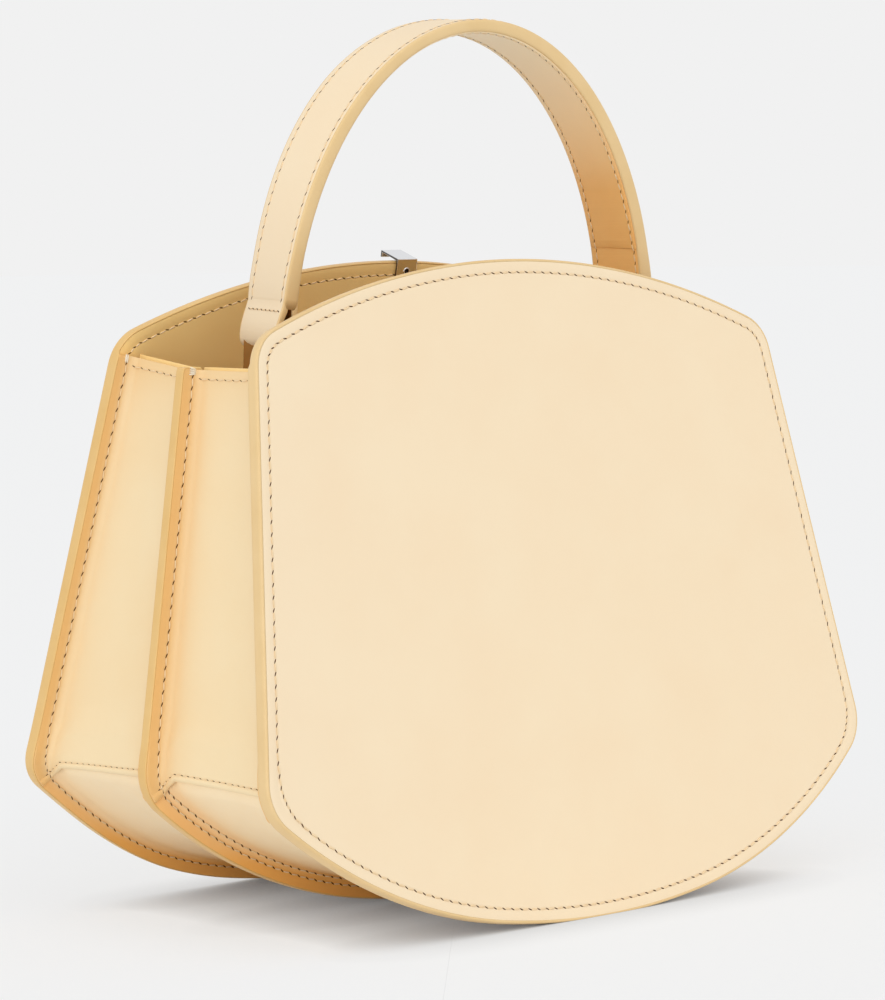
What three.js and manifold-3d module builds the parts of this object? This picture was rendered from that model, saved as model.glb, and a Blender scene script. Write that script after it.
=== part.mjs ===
// Small structured top-handle bag: two leaning leather panels, a divider between them,
// two outward-flanged gussets and one arched strap handle. Millimetres, +Z up, front faces -Y.
import * as THREE from 'three';
import { mergeVertices } from 'three/addons/utils/BufferGeometryUtils.js';
import Module from 'manifold-3d';

const wasm = await Module();
wasm.setup();

// Panel outline, measured in the plane of a panel: u across, v up from the lowest point.
// The bottom edge is a wide middle arc that passes into a tighter flank arc on each side.
const BOTTOM_RADIUS = 267.5;
const BOTTOM_TURN = 0.155;
const FLANK_RADIUS = 158.6;
const TOP_RADIUS = 266.4;
const PANEL_HEIGHT = 198.2;
const BOTTOM_HALF_WIDTH = 125.3;
const TOP_HALF_WIDTH = 106.7;
const LOW_CORNER_RADIUS = 16.2;
const HIGH_CORNER_RADIUS = 13.2;

// Stance of the two panels.
const BASE_DEPTH = 128.4;
const LEAN = 0.183;
const FOOT_FLAT = 0.5;

// Layer thicknesses and the glue line left between layers.
const GLUE = 0.2;
const LEATHER = 1.2;
const BOARD = 0.9;
const LINING = 0.9;
const DIVIDER = 1.2;
const GUSSET = 1.0;
const GUSSET_LINING = 0.7;

// Gussets.
const FLANGE = 6.5;
const FLANGE_SETBACK = 0.1;
const GUSSET_TOP = 168;
const FRONT_RISE = 1;
const BACK_RISE = 4.3;
const TOP_TRIM = 0.8;
const LAP_TURN = 0.48;
const LAP_RISE = 3.5;
const DIVIDER_DIP = 20;
const DIVIDER_SHOULDER = 12;
const DIVIDER_SLOPE = 7;

// Handle: a half ellipse of strap with a rolled end on each leg.
const HANDLE_HALF_SPAN = 75;
const HANDLE_RISE = 97.4;
const HANDLE_SPRING_Z = 168.2;
const HANDLE_WIDTH = 21.4;
const HANDLE_OUTER = 1.4;
const HANDLE_FILLER = 1.4;
const HANDLE_LEAN = 0.048;
const ROLL_ABOVE_RIDGE = 9.5;
const ROLL_RADIUS = 5;
const ROLL_NECK = 7;
const FILLER_START = 9;
const RETURN_LENGTH = 23.8;

// Chapes, their pivots and the anchors on the divider; drops are measured from the ridge top.
const CHAPE_OFFSET = 1.5;
const CHAPE_THICK = 1.2;
const CHAPE_WIDTH = 16;
const CHAPE_DROP = 15.7;
const PIVOT_DROP = 8.7;
const RIVET_SHANK = 1.4;
const RIVET_HEAD = 3;
const CLEAR = 0.3;
const ANCHOR_TOP_DROP = 1.2;
const ANCHOR_LOW_DROP = 41.7;
const ANCHOR_FLANGE = 13;
const ANCHOR_RIVET_RISE = 10;

// Clasp on the top edge of the back panel.
const CLASP_WIDTH = 8;
const CLASP_METAL = 0.7;
const CLASP_DROP = 7;
const CLASP_OVERHANG = 1.6;
const CLASP_LIFT = 2;
const CLASP_LIP = 2.2;
const CLASP_HOLE_DROP = 4.2;
const CLASP_HOLE_RADIUS = 1.05;

const PANEL = LEATHER + GLUE + BOARD + GLUE + LINING;
const COS = Math.cos(LEAN);
const SIN = Math.sin(LEAN);
const RIDGE_Z = GUSSET_TOP * COS - FOOT_FLAT;
const ROLL_Z = RIDGE_Z + ROLL_ABOVE_RIDGE;
const RETURN_Z = ROLL_Z + RETURN_LENGTH;
const PIVOT_Z = RIDGE_Z - PIVOT_DROP;

// One named mesh with its own material.
function piece(name, geometry, color, roughness, metalness = 0) {
  const material = new THREE.MeshStandardMaterial({ color, roughness, metalness });
  const mesh = new THREE.Mesh(geometry, material);
  mesh.name = name;
  return mesh;
}

// Closed solid through a row of rings that share one cap triangulation.
function loft(rings, caps) {
  const count = rings[0].length;
  const last = (rings.length - 1) * count;
  const index = [];
  for (let r = 0; r + 1 < rings.length; r += 1) {
    for (let i = 0; i < count; i += 1) {
      const a = r * count + i;
      const b = r * count + (i + 1) % count;
      index.push(a, b, b + count, a, b + count, a + count);
    }
  }
  for (const [a, b, c] of caps) {
    index.push(a, c, b, last + a, last + b, last + c);
  }
  const points = rings.flat();
  if (signedVolume(points, index) < 0) {
    for (let i = 0; i < index.length; i += 3) {
      [index[i], index[i + 1]] = [index[i + 1], index[i]];
    }
  }
  const geometry = new THREE.BufferGeometry();
  geometry.setAttribute('position', new THREE.Float32BufferAttribute(points.flat(), 3));
  geometry.setIndex(index);
  return geometry;
}

function signedVolume(points, index) {
  let total = 0;
  for (let i = 0; i < index.length; i += 3) {
    const a = new THREE.Vector3(...points[index[i]]);
    const b = new THREE.Vector3(...points[index[i + 1]]);
    const c = new THREE.Vector3(...points[index[i + 2]]);
    total += a.dot(b.cross(c));
  }
  return total;
}

function capOf(points) {
  const flat = points.map(([x, y]) => new THREE.Vector2(x, y));
  return THREE.ShapeUtils.triangulateShape(flat, []);
}

function box(x0, x1, y0, y1, z0, z1) {
  const geometry = new THREE.BoxGeometry(x1 - x0, y1 - y0, z1 - z0);
  geometry.translate((x0 + x1) / 2, (y0 + y1) / 2, (z0 + z1) / 2);
  return geometry;
}

// Round bar along X or Y built from discs of given radius at given places.
function turned(axis, centre, discs, sides = 14) {
  const rings = discs.map(([along, radius]) => {
    const ring = [];
    for (let i = 0; i < sides; i += 1) {
      const angle = (2 * Math.PI * (i + 0.5)) / sides;
      const p = radius * Math.cos(angle);
      const q = centre[1] + radius * Math.sin(angle);
      ring.push(axis === 'x' ? [along, centre[0] + p, q] : [centre[0] + p, along, q]);
    }
    return ring;
  });
  const caps = [];
  for (let i = 1; i + 1 < sides; i += 1) {
    caps.push([0, i, i + 1]);
  }
  return loft(rings, caps);
}

function solid(geometry) {
  let clean = geometry.clone();
  clean.deleteAttribute('normal');
  clean.deleteAttribute('uv');
  clean = mergeVertices(clean, 1e-5);
  return new wasm.Manifold(new wasm.Mesh({
    numProp: 3,
    vertProperties: new Float32Array(clean.attributes.position.array),
    triVerts: new Uint32Array(clean.index.array),
  }));
}

function surface(body) {
  const mesh = body.getMesh();
  const geometry = new THREE.BufferGeometry();
  const points = new Float32Array((mesh.vertProperties.length / mesh.numProp) * 3);
  for (let i = 0; i < points.length / 3; i += 1) {
    for (let k = 0; k < 3; k += 1) {
      points[3 * i + k] = mesh.vertProperties[mesh.numProp * i + k];
    }
  }
  geometry.setAttribute('position', new THREE.BufferAttribute(points, 3));
  geometry.setIndex(new THREE.BufferAttribute(new Uint32Array(mesh.triVerts), 1));
  return geometry;
}

function joined(geometries) {
  return surface(geometries.map(solid).reduce((sum, next) => sum.add(next)));
}

function cut(geometry, tools) {
  return surface(tools.map(solid).reduce((left, tool) => left.subtract(tool), solid(geometry)));
}

const belowFloor = box(-2 * BOTTOM_HALF_WIDTH, 2 * BOTTOM_HALF_WIDTH, -BASE_DEPTH, BASE_DEPTH,
  -2 * FLANGE, 0);

function stood(geometry) {
  return cut(geometry, [belowFloor]);
}

// Outline stations: a point on the panel edge and the direction into the panel.
// A corner is the small arc between the straight side and the arc of radius about centre.
function corner(radius, centre, small, towardTop) {
  const side = sideDirection();
  const inU = -side[1];
  const inV = side[0];
  const baseU = BOTTOM_HALF_WIDTH + inU * small - centre[0];
  const baseV = bottomVertexV() + inV * small - centre[1];
  const half = baseU * side[0] + baseV * side[1];
  const rest = baseU * baseU + baseV * baseV - (radius - small) ** 2;
  const reach = Math.sqrt(half * half - rest);
  const along = towardTop ? -half + reach : -half - reach;
  const u = baseU + side[0] * along;
  const v = baseV + side[1] * along;
  const arcAngle = Math.atan2(v, u);
  const sideAngle = Math.atan2(-inV, -inU);
  return { u: u + centre[0], v: v + centre[1], radius: small, arcAngle, sideAngle };
}

function flankCentre() {
  const shift = BOTTOM_RADIUS - FLANK_RADIUS;
  return [shift * Math.sin(BOTTOM_TURN), BOTTOM_RADIUS - shift * Math.cos(BOTTOM_TURN)];
}

function bottomVertexV() {
  const [u, v] = flankCentre();
  return v - Math.sqrt(FLANK_RADIUS ** 2 - (BOTTOM_HALF_WIDTH - u) ** 2);
}

function topVertexV() {
  const centre = PANEL_HEIGHT - TOP_RADIUS;
  return centre + Math.sqrt(TOP_RADIUS ** 2 - TOP_HALF_WIDTH ** 2);
}

function sideDirection() {
  const du = TOP_HALF_WIDTH - BOTTOM_HALF_WIDTH;
  const dv = topVertexV() - bottomVertexV();
  const length = Math.hypot(du, dv);
  return [du / length, dv / length];
}

const lowCorner = corner(FLANK_RADIUS, flankCentre(), LOW_CORNER_RADIUS, false);
const highCorner = corner(TOP_RADIUS, [0, PANEL_HEIGHT - TOP_RADIUS], HIGH_CORNER_RADIUS, true);

function arcStation(u, v, radius, angle) {
  const cu = Math.cos(angle);
  const cv = Math.sin(angle);
  return { u: u + radius * cu, v: v + radius * cv, inU: -cu, inV: -cv };
}

function arcStations(u, v, radius, from, to, steps) {
  const list = [];
  for (let i = 0; i <= steps; i += 1) {
    list.push(arcStation(u, v, radius, from + ((to - from) * i) / steps));
  }
  return list;
}

function cornerStations(bend, from, to, steps) {
  return arcStations(bend.u, bend.v, bend.radius, from, to, steps);
}

// Station on the straight right side at height v.
function sideStation(v) {
  const side = sideDirection();
  const rise = (v - bottomVertexV()) / side[1];
  return { u: BOTTOM_HALF_WIDTH + side[0] * rise, v, inU: -side[1], inV: side[0] };
}

function mirrored(station) {
  return { u: -station.u, v: station.v, inU: -station.inU, inV: station.inV };
}

const halfTurn = Math.PI / 2;
const flankStart = BOTTOM_TURN - halfTurn;
const bottomArcs = [
  ...arcStations(0, BOTTOM_RADIUS, BOTTOM_RADIUS, -halfTurn, flankStart, 3),
  ...arcStations(...flankCentre(), FLANK_RADIUS, flankStart, lowCorner.arcAngle, 6).slice(1),
];
const bottomRight = [
  ...bottomArcs,
  ...cornerStations(lowCorner, lowCorner.arcAngle, lowCorner.sideAngle, 6).slice(1),
];
const topRight = [
  ...cornerStations(highCorner, highCorner.sideAngle, highCorner.arcAngle, 5),
  ...arcStations(0, PANEL_HEIGHT - TOP_RADIUS, TOP_RADIUS, highCorner.arcAngle, halfTurn, 6).slice(1),
];

// The lap between side and base pieces lies part of the way round the lower corner.
const sideFoot = lowCorner.v + lowCorner.radius * Math.sin(lowCorner.sideAngle);
const lapAngle = lowCorner.sideAngle - LAP_TURN;
const lapGap = CLEAR / LOW_CORNER_RADIUS;

function inset(station, distance) {
  return [station.u + station.inU * distance, station.v + station.inV * distance];
}

// Points of the whole panel edge, counter-clockwise seen from the front.
function panelEdge() {
  const right = [...bottomRight, ...topRight];
  const left = right.slice(1, -1).reverse().map(mirrored);
  return [...right, ...left].map((station) => inset(station, 0));
}

// Panel coordinates to object coordinates; w is the depth inward from the outer face.
function onPanel(way, u, v, w) {
  const y = -BASE_DEPTH / 2 + v * SIN + w * COS;
  return [u, way * -y, v * COS - w * SIN - FOOT_FLAT];
}

function onDivider(u, v, y) {
  return [u, y, v * COS - FOOT_FLAT];
}

function panelLayer(way, from, to) {
  const edge = panelEdge();
  const rings = [from, to].map((w) => edge.map(([u, v]) => onPanel(way, u, v, w)));
  return stood(loft(rings, capOf(edge)));
}

// Gusset section: a channel with its two flanges turned outward.
const channelCaps = [[0, 1, 6], [0, 6, 7], [1, 2, 5], [1, 5, 6], [2, 3, 4], [2, 4, 5]];
const stripCaps = [[0, 1, 2], [0, 2, 3]];
const flangeFace = PANEL + GLUE;
const dividerFace = DIVIDER / 2 + GLUE;

// A section meets the panel at one station and the divider at another, which may be the same.
function channelRing(way, station, webInset, panelStation = station, trim = FLANGE_SETBACK) {
  const near = way * dividerFace;
  const far = way * (dividerFace + GUSSET);
  return [
    onPanel(way, ...inset(panelStation, trim), flangeFace),
    onPanel(way, ...inset(panelStation, webInset + GUSSET), flangeFace),
    onDivider(...inset(station, webInset + GUSSET), near),
    onDivider(...inset(station, FLANGE_SETBACK), near),
    onDivider(...inset(station, FLANGE_SETBACK), far),
    onDivider(...inset(station, webInset), far),
    onPanel(way, ...inset(panelStation, webInset), flangeFace + GUSSET),
    onPanel(way, ...inset(panelStation, trim), flangeFace + GUSSET),
  ];
}

function stripRing(way, station, from, to, margin, panelStation = station) {
  const near = way * (dividerFace + margin);
  return [
    onPanel(way, ...inset(panelStation, from), flangeFace + margin),
    onPanel(way, ...inset(panelStation, to), flangeFace + margin),
    onDivider(...inset(station, to), near),
    onDivider(...inset(station, from), near),
  ];
}

// Height on the panel of a gusset's top edge.
function panelTop(way) {
  return GUSSET_TOP + (way < 0 ? FRONT_RISE : BACK_RISE);
}

function handed(hand, station) {
  return hand < 0 ? mirrored(station) : station;
}

const liftedInset = FLANGE - GUSSET - GLUE;

function gussetSide(way, hand) {
  const lifted = sideFoot + LAP_RISE + 1;
  const at = (v) => handed(hand, sideStation(v));
  const top = channelRing(way, at(GUSSET_TOP), FLANGE, at(panelTop(way)), TOP_TRIM);
  const shoulder = GUSSET_TOP - 2 * FLANGE;
  const lap = cornerStations(lowCorner, lowCorner.sideAngle, lapAngle, 3)
    .map((station) => channelRing(way, handed(hand, station), liftedInset));
  return loft([
    top,
    channelRing(way, at(shoulder), FLANGE),
    channelRing(way, at(lifted + 4), FLANGE),
    channelRing(way, at(lifted), liftedInset),
    ...lap,
  ], channelCaps);
}

function gussetBase(way) {
  const right = [
    ...bottomArcs,
    ...cornerStations(lowCorner, lowCorner.arcAngle, lapAngle - lapGap, 4).slice(1),
  ];
  const path = [...right.slice(1).reverse().map(mirrored), ...right];
  const channel = loft(path.map((station) => channelRing(way, station, FLANGE)), channelCaps);
  const tongue = (hand) => {
    const stations = [
      ...cornerStations(lowCorner, lapAngle - 0.1, lowCorner.sideAngle, 3),
      sideStation(sideFoot + LAP_RISE),
    ];
    return loft(stations.map((station) => stripRing(way, handed(hand, station), FLANGE + 0.05,
      FLANGE + GUSSET - 0.05, GUSSET + CLEAR)), stripCaps);
  };
  return stood(joined([channel, tongue(-1), tongue(1)]));
}

function gussetLining(way) {
  const from = FLANGE + GUSSET + GLUE;
  const to = from + GUSSET_LINING;
  const ring = (station, panelStation) => stripRing(way, station, from, to, 0, panelStation);
  const end = (hand) => ring(handed(hand, sideStation(GUSSET_TOP)),
    handed(hand, sideStation(panelTop(way))));
  const low = [...bottomRight, sideStation(GUSSET_TOP - 2 * FLANGE)];
  const path = [...low.slice(1).reverse().map(mirrored), ...low];
  return loft([end(-1), ...path.map((station) => ring(station)), end(1)], stripCaps);
}

function dividerPanel() {
  const right = [...bottomRight, sideStation(GUSSET_TOP)];
  const edge = [...right.slice(1).reverse().map(mirrored), ...right]
    .map((station) => inset(station, 0));
  const top = GUSSET_TOP;
  const dip = GUSSET_TOP - DIVIDER_DIP;
  const shoulder = sideStation(top).u - DIVIDER_SHOULDER;
  const foot = shoulder - DIVIDER_SLOPE;
  edge.push([shoulder, top], [foot, dip], [-foot, dip], [-shoulder, top]);
  const rings = [-DIVIDER / 2, DIVIDER / 2].map((y) => edge.map(([u, v]) => onDivider(u, v, y)));
  const holes = [-1, 1].map((hand) => turned('y', [hand * anchorRivetX, anchorRivetZ],
    [[-3, RIVET_SHANK + CLEAR], [3, RIVET_SHANK + CLEAR]]));
  return cut(loft(rings, capOf(edge)), [belowFloor, ...holes]);
}

// Handle strap: profiles in the XZ plane, extruded across its width.
const strapHalf = HANDLE_OUTER + GLUE + HANDLE_FILLER / 2;
const rollPath = ROLL_RADIUS - HANDLE_OUTER / 2;

function archPoint(angle, offset) {
  const x = HANDLE_HALF_SPAN * Math.cos(angle);
  const z = HANDLE_RISE * Math.sin(angle);
  const nx = Math.cos(angle) / HANDLE_HALF_SPAN;
  const nz = Math.sin(angle) / HANDLE_RISE;
  const length = Math.hypot(nx, nz);
  return [x + (offset * nx) / length, HANDLE_SPRING_Z + z + (offset * nz) / length];
}

function angleAt(z) {
  return Math.asin((z - HANDLE_SPRING_Z) / HANDLE_RISE);
}

function archRow(offset, fromZ, steps) {
  const start = angleAt(fromZ);
  const row = [];
  for (let i = 0; i <= steps; i += 1) {
    row.push(archPoint(start + ((Math.PI - 2 * start) * i) / steps, offset));
  }
  return row;
}

// Right-hand rolled end, from the inner return round below to the outer face.
function rollRow(offset) {
  const row = [];
  const start = angleAt(RETURN_Z);
  const low = angleAt(ROLL_Z + ROLL_NECK);
  const inner = -(strapHalf - HANDLE_OUTER / 2) - offset;
  row.push(archPoint(start, inner), archPoint((start + low) / 2, inner), archPoint(low, inner));
  for (let i = 0; i <= 14; i += 1) {
    const angle = ((150 + (240 * i) / 14) * Math.PI) / 180;
    const radius = rollPath + offset;
    row.push([HANDLE_HALF_SPAN + radius * Math.cos(angle), ROLL_Z + radius * Math.sin(angle)]);
  }
  return row;
}

function strapSolid(profile, halfWidth) {
  const rings = [-halfWidth, halfWidth].map((y) => profile.map(([x, z]) => [x, y, z]));
  return loft(rings, capOf(profile));
}

function flipped(row) {
  return row.map(([x, z]) => [-x, z]).reverse();
}

function leaned(geometry) {
  geometry.translate(0, 0, -PIVOT_Z);
  geometry.rotateX(HANDLE_LEAN);
  geometry.translate(0, 0, PIVOT_Z);
  return geometry;
}

function handleOuter() {
  const half = HANDLE_OUTER / 2;
  const line = (offset) => [
    ...rollRow(offset),
    ...archRow(strapHalf - half + offset, ROLL_Z + ROLL_NECK, 30),
    ...flipped(rollRow(offset)),
  ];
  const profile = [...line(half), ...line(-half).reverse()];
  const slits = [-1, 1].map((hand) => {
    const a = hand * (HANDLE_HALF_SPAN + CHAPE_OFFSET - CLEAR);
    const b = hand * (HANDLE_HALF_SPAN + CHAPE_OFFSET + CHAPE_THICK + CLEAR);
    const reach = CHAPE_WIDTH / 2 + CLEAR;
    return box(Math.min(a, b), Math.max(a, b), -reach, reach, ROLL_Z - 8, ROLL_Z - 1);
  });
  return leaned(cut(strapSolid(profile, HANDLE_WIDTH / 2), slits));
}

function handleBand(from, to, lowZ, halfWidth) {
  const profile = [...archRow(to, lowZ, 30), ...archRow(from, lowZ, 30).reverse()];
  return leaned(strapSolid(profile, halfWidth));
}

// Chape: a flat tab with a rolled head that sits inside the handle's rolled end.
const chapeInner = HANDLE_HALF_SPAN + CHAPE_OFFSET;
const chapeOuter = chapeInner + CHAPE_THICK;
const anchorOuter = chapeInner - CLEAR;
const anchorInner = anchorOuter - CHAPE_THICK;
const anchorLow = RIDGE_Z - ANCHOR_LOW_DROP;
const anchorFlangeEnd = anchorInner - ANCHOR_FLANGE;
const anchorRivetX = (anchorFlangeEnd + anchorInner) / 2;
const anchorRivetZ = anchorLow + ANCHOR_RIVET_RISE;
const anchorFace = DIVIDER / 2 + CLEAR;

function boxOn(hand, x0, x1, y0, y1, z0, z1) {
  return hand < 0 ? box(-x1, -x0, y0, y1, z0, z1) : box(x0, x1, y0, y1, z0, z1);
}

function pivotHole(hand) {
  const radius = RIVET_SHANK + CLEAR;
  const ends = [anchorInner - ROLL_RADIUS, chapeOuter + ROLL_RADIUS];
  return turned('x', [0, PIVOT_Z], ends.map((x) => [hand * x, radius]));
}

function chape(hand) {
  const half = CHAPE_WIDTH / 2;
  const low = RIDGE_Z - CHAPE_DROP;
  const tab = boxOn(hand, chapeInner, chapeOuter, -half, half, low, ROLL_Z - 0.5);
  const radius = ROLL_RADIUS - HANDLE_OUTER - CLEAR;
  const wide = HANDLE_WIDTH / 2 - 0.5;
  const head = turned('y', [hand * HANDLE_HALF_SPAN, ROLL_Z], [[-wide, radius], [wide, radius]], 18);
  return leaned(cut(joined([tab, head]), [pivotHole(hand)]));
}

function anchor(hand) {
  const half = CHAPE_WIDTH / 2;
  const dip = onDivider(0, GUSSET_TOP - DIVIDER_DIP, 0)[2] + CLEAR;
  const top = RIDGE_Z - ANCHOR_TOP_DROP;
  const parts = [boxOn(hand, anchorInner, anchorOuter, -half, half, dip, top)];
  for (const way of [-1, 1]) {
    const span = (reach) => [way * anchorFace, way * reach].sort((a, b) => a - b);
    parts.push(boxOn(hand, anchorInner, anchorOuter, ...span(half), anchorLow, dip + 2));
    parts.push(boxOn(hand, anchorFlangeEnd, anchorOuter, ...span(anchorFace + CHAPE_THICK),
      anchorLow, dip - 2));
  }
  const rivetHole = turned('y', [hand * anchorRivetX, anchorRivetZ],
    [[-9, RIVET_SHANK + CLEAR], [9, RIVET_SHANK + CLEAR]]);
  return cut(joined(parts), [pivotHole(hand), rivetHole]);
}

function rivetDiscs(from, to) {
  return [
    [from - 0.9, RIVET_HEAD - 0.7],
    [from - 0.4, RIVET_HEAD],
    [from, RIVET_HEAD],
    [from, RIVET_SHANK],
    [to, RIVET_SHANK],
    [to, RIVET_HEAD],
    [to + 0.4, RIVET_HEAD],
    [to + 0.9, RIVET_HEAD - 0.7],
  ];
}

function pivotRivet(hand) {
  const discs = rivetDiscs(anchorInner - CLEAR, chapeOuter + CLEAR);
  return turned('x', [0, PIVOT_Z], discs.map(([along, radius]) => [hand * along, radius]));
}

function anchorRivet(hand) {
  const reach = anchorFace + CHAPE_THICK + CLEAR;
  return turned('y', [hand * anchorRivetX, anchorRivetZ], rivetDiscs(-reach, reach));
}

// Clasp: a bent metal plate screwed to the inside of the back panel. Its top slopes up over
// the panel's edge and ends in a short lip behind it.
function claspSaddle() {
  const inner = PANEL + CLEAR;
  const inside = inner + CLASP_METAL;
  const front = PANEL_HEIGHT + CLEAR;
  const low = PANEL_HEIGHT - CLASP_DROP;
  const lipInner = -CLASP_OVERHANG;
  const lipOuter = lipInner - CLASP_METAL;
  const rear = front + CLASP_LIFT;
  const lip = rear + CLASP_METAL - CLASP_LIP;
  const profile = [
    [inner, low],
    [inside, low],
    [inside, front + CLASP_METAL],
    [lipOuter, rear + CLASP_METAL],
    [lipOuter, lip],
    [lipInner, lip],
    [lipInner, rear],
    [inner, front],
  ];
  const rings = [-CLASP_WIDTH / 2, CLASP_WIDTH / 2]
    .map((u) => profile.map(([w, v]) => onPanel(1, u, v, w)));
  return cut(loft(rings, capOf(profile)), [claspBar(PANEL, inside + 1, CLASP_HOLE_RADIUS)]);
}

const CLASP_BAR_SIDES = 14;

function claspBar(from, to, radius, dome = 0) {
  const middle = PANEL_HEIGHT - CLASP_HOLE_DROP;
  const depths = dome > 0 ? [[from, 1], [to - dome, 1], [to, 0.7]] : [[from, 1], [to, 1]];
  const rings = depths.map(([w, share]) => {
    const ring = [];
    for (let i = 0; i < CLASP_BAR_SIDES; i += 1) {
      const angle = (2 * Math.PI * i) / CLASP_BAR_SIDES;
      const u = radius * share * Math.cos(angle);
      ring.push(onPanel(1, u, middle + radius * share * Math.sin(angle), w));
    }
    return ring;
  });
  const caps = [];
  for (let i = 1; i + 1 < CLASP_BAR_SIDES; i += 1) {
    caps.push([0, i, i + 1]);
  }
  return loft(rings, caps);
}

const VANILLA = '#f6dfbe';
const GUSSET_VANILLA = '#f3d9b0';
const TAN = '#d9a566';
const CARD = '#b89a70';
const METAL = '#c9ccd1';

const bag = new THREE.Group();
bag.name = 'structured_top_handle_bag';

for (const [label, way] of [['front', -1], ['back', 1]]) {
  const boardFrom = LEATHER + GLUE;
  const liningFrom = boardFrom + BOARD + GLUE;
  bag.add(piece(`${label}_panel_leather`, panelLayer(way, 0, LEATHER), VANILLA, 0.5));
  bag.add(piece(`${label}_panel_board`, panelLayer(way, boardFrom, boardFrom + BOARD), CARD, 0.9));
  bag.add(piece(`${label}_panel_lining`, panelLayer(way, liningFrom, PANEL), TAN, 0.6));
  bag.add(piece(`${label}_gusset_left`, gussetSide(way, -1), GUSSET_VANILLA, 0.5));
  bag.add(piece(`${label}_gusset_right`, gussetSide(way, 1), GUSSET_VANILLA, 0.5));
  bag.add(piece(`${label}_gusset_base`, gussetBase(way), GUSSET_VANILLA, 0.5));
  bag.add(piece(`${label}_gusset_lining`, gussetLining(way), TAN, 0.6));
}
bag.add(piece('divider', dividerPanel(), TAN, 0.6));

const fillerHalf = HANDLE_FILLER / 2;
bag.add(piece('handle_outer', handleOuter(), VANILLA, 0.5));
bag.add(piece('handle_filler',
  handleBand(-fillerHalf, fillerHalf, ROLL_Z + FILLER_START, HANDLE_WIDTH / 2 - 0.4), CARD, 0.9));
bag.add(piece('handle_inner',
  handleBand(-strapHalf, -strapHalf + HANDLE_OUTER, RETURN_Z + 0.5, HANDLE_WIDTH / 2), VANILLA, 0.5));

for (const [label, hand] of [['left', -1], ['right', 1]]) {
  bag.add(piece(`chape_${label}`, chape(hand), TAN, 0.6));
  bag.add(piece(`anchor_${label}`, anchor(hand), TAN, 0.6));
  bag.add(piece(`pivot_rivet_${label}`, pivotRivet(hand), METAL, 0.25, 1));
  bag.add(piece(`anchor_rivet_${label}`, anchorRivet(hand), METAL, 0.25, 1));
}

bag.add(piece('clasp_saddle', claspSaddle(), METAL, 0.1, 1));
bag.add(piece('clasp_screw',
  claspBar(PANEL + CLEAR, PANEL + CLEAR + CLASP_METAL, CLASP_HOLE_RADIUS - 0.15, 0.2), METAL, 0.2, 1));

export default bag;
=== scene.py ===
import math
import bmesh
import bpy
from mathutils import Matrix, Vector


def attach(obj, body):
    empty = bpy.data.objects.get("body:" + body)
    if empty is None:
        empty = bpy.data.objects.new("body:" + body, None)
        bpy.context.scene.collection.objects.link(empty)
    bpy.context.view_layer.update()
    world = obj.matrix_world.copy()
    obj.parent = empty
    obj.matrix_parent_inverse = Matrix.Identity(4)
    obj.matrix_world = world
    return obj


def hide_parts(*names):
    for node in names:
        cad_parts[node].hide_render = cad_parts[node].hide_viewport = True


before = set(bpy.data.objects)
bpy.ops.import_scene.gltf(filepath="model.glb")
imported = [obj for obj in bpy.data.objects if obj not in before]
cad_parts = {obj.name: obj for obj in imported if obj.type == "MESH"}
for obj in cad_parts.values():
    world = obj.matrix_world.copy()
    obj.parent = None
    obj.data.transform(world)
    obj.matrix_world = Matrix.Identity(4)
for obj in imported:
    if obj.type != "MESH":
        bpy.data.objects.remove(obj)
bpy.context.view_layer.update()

MM = 0.001

# Panel outline, in millimetres: u across, v up the panel.
BOTTOM_RADIUS = 267.5
BOTTOM_TURN = 0.155
FLANK_RADIUS = 158.6
TOP_RADIUS = 266.4
PANEL_HEIGHT = 198.2
BOTTOM_HALF_WIDTH = 125.3
TOP_HALF_WIDTH = 106.7
LOW_CORNER = 15.0
HIGH_CORNER = 13.2

# Stance and layers.
HALF_DEPTH = 64.2
LEAN = 0.183
FOOT_FLAT = 0.5
SHELL = 2.15
PANEL = 3.05
GUSSET = 1.0
COAT = 0.95
RIM_STITCH = 4.2
FLANGE_STITCH = 3.8
STITCH_PITCH = 3.55
STITCH_FILL = 0.7
THREAD_SLANT = 0.1
HOLE_SLANT = -0.38
CHANNEL_DEPTH = 0.14

# Gussets: height on the divider, and how much higher each stands at its panel.
GUSSET_TOP = 168.0
RISE = {"front": 1.0, "back": 4.3}
FLANGE_MID_PANEL = PANEL + 0.03 + GUSSET / 2
FLANGE_MID_DIVIDER = HALF_DEPTH - 0.63 - GUSSET / 2
FOLD = 3.2
WEB = 6.9
LAP_DOWN = 4.4
FLANGE_LAP_DOWN = 11.3
LAP_CORNER = 12.5
LAP_DROP = {"front": 0.0, "back": 2.3}
LAP_PROUD = 1.1
LIP_MIDDLE = 1.0
LIP_HALF_WIDTH = 1.2
LIP_HEIGHT = 0.75
LAP_ROW_UP = 2.7
LAP_ROW_PITCH = 2.7
TOP_ROW_DOWN = 2.7

# Handle.
HANDLE_HALF_SPAN = 75.0
HANDLE_RISE = 97.4
HANDLE_SPRING_Z = 168.2
HANDLE_HALF_WIDTH = 10.7
HANDLE_HALF_THICK = 2.3
HANDLE_LEAN = 0.048
HANDLE_TWIST = 0.20
HANDLE_STITCH = 8.3
RIDGE_Z = GUSSET_TOP * math.cos(LEAN) - FOOT_FLAT
ROLL_Z = RIDGE_Z + 9.5
RETURN_Z = ROLL_Z + 23.8
STRAP_END_Z = ROLL_Z + 6.6
CROSS_STITCH_Z = ROLL_Z + 5.7
ROLL_MIDDLE = (HANDLE_HALF_SPAN + 0.85, ROLL_Z - 2.4)
ROLL_REACH = 3.4

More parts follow.
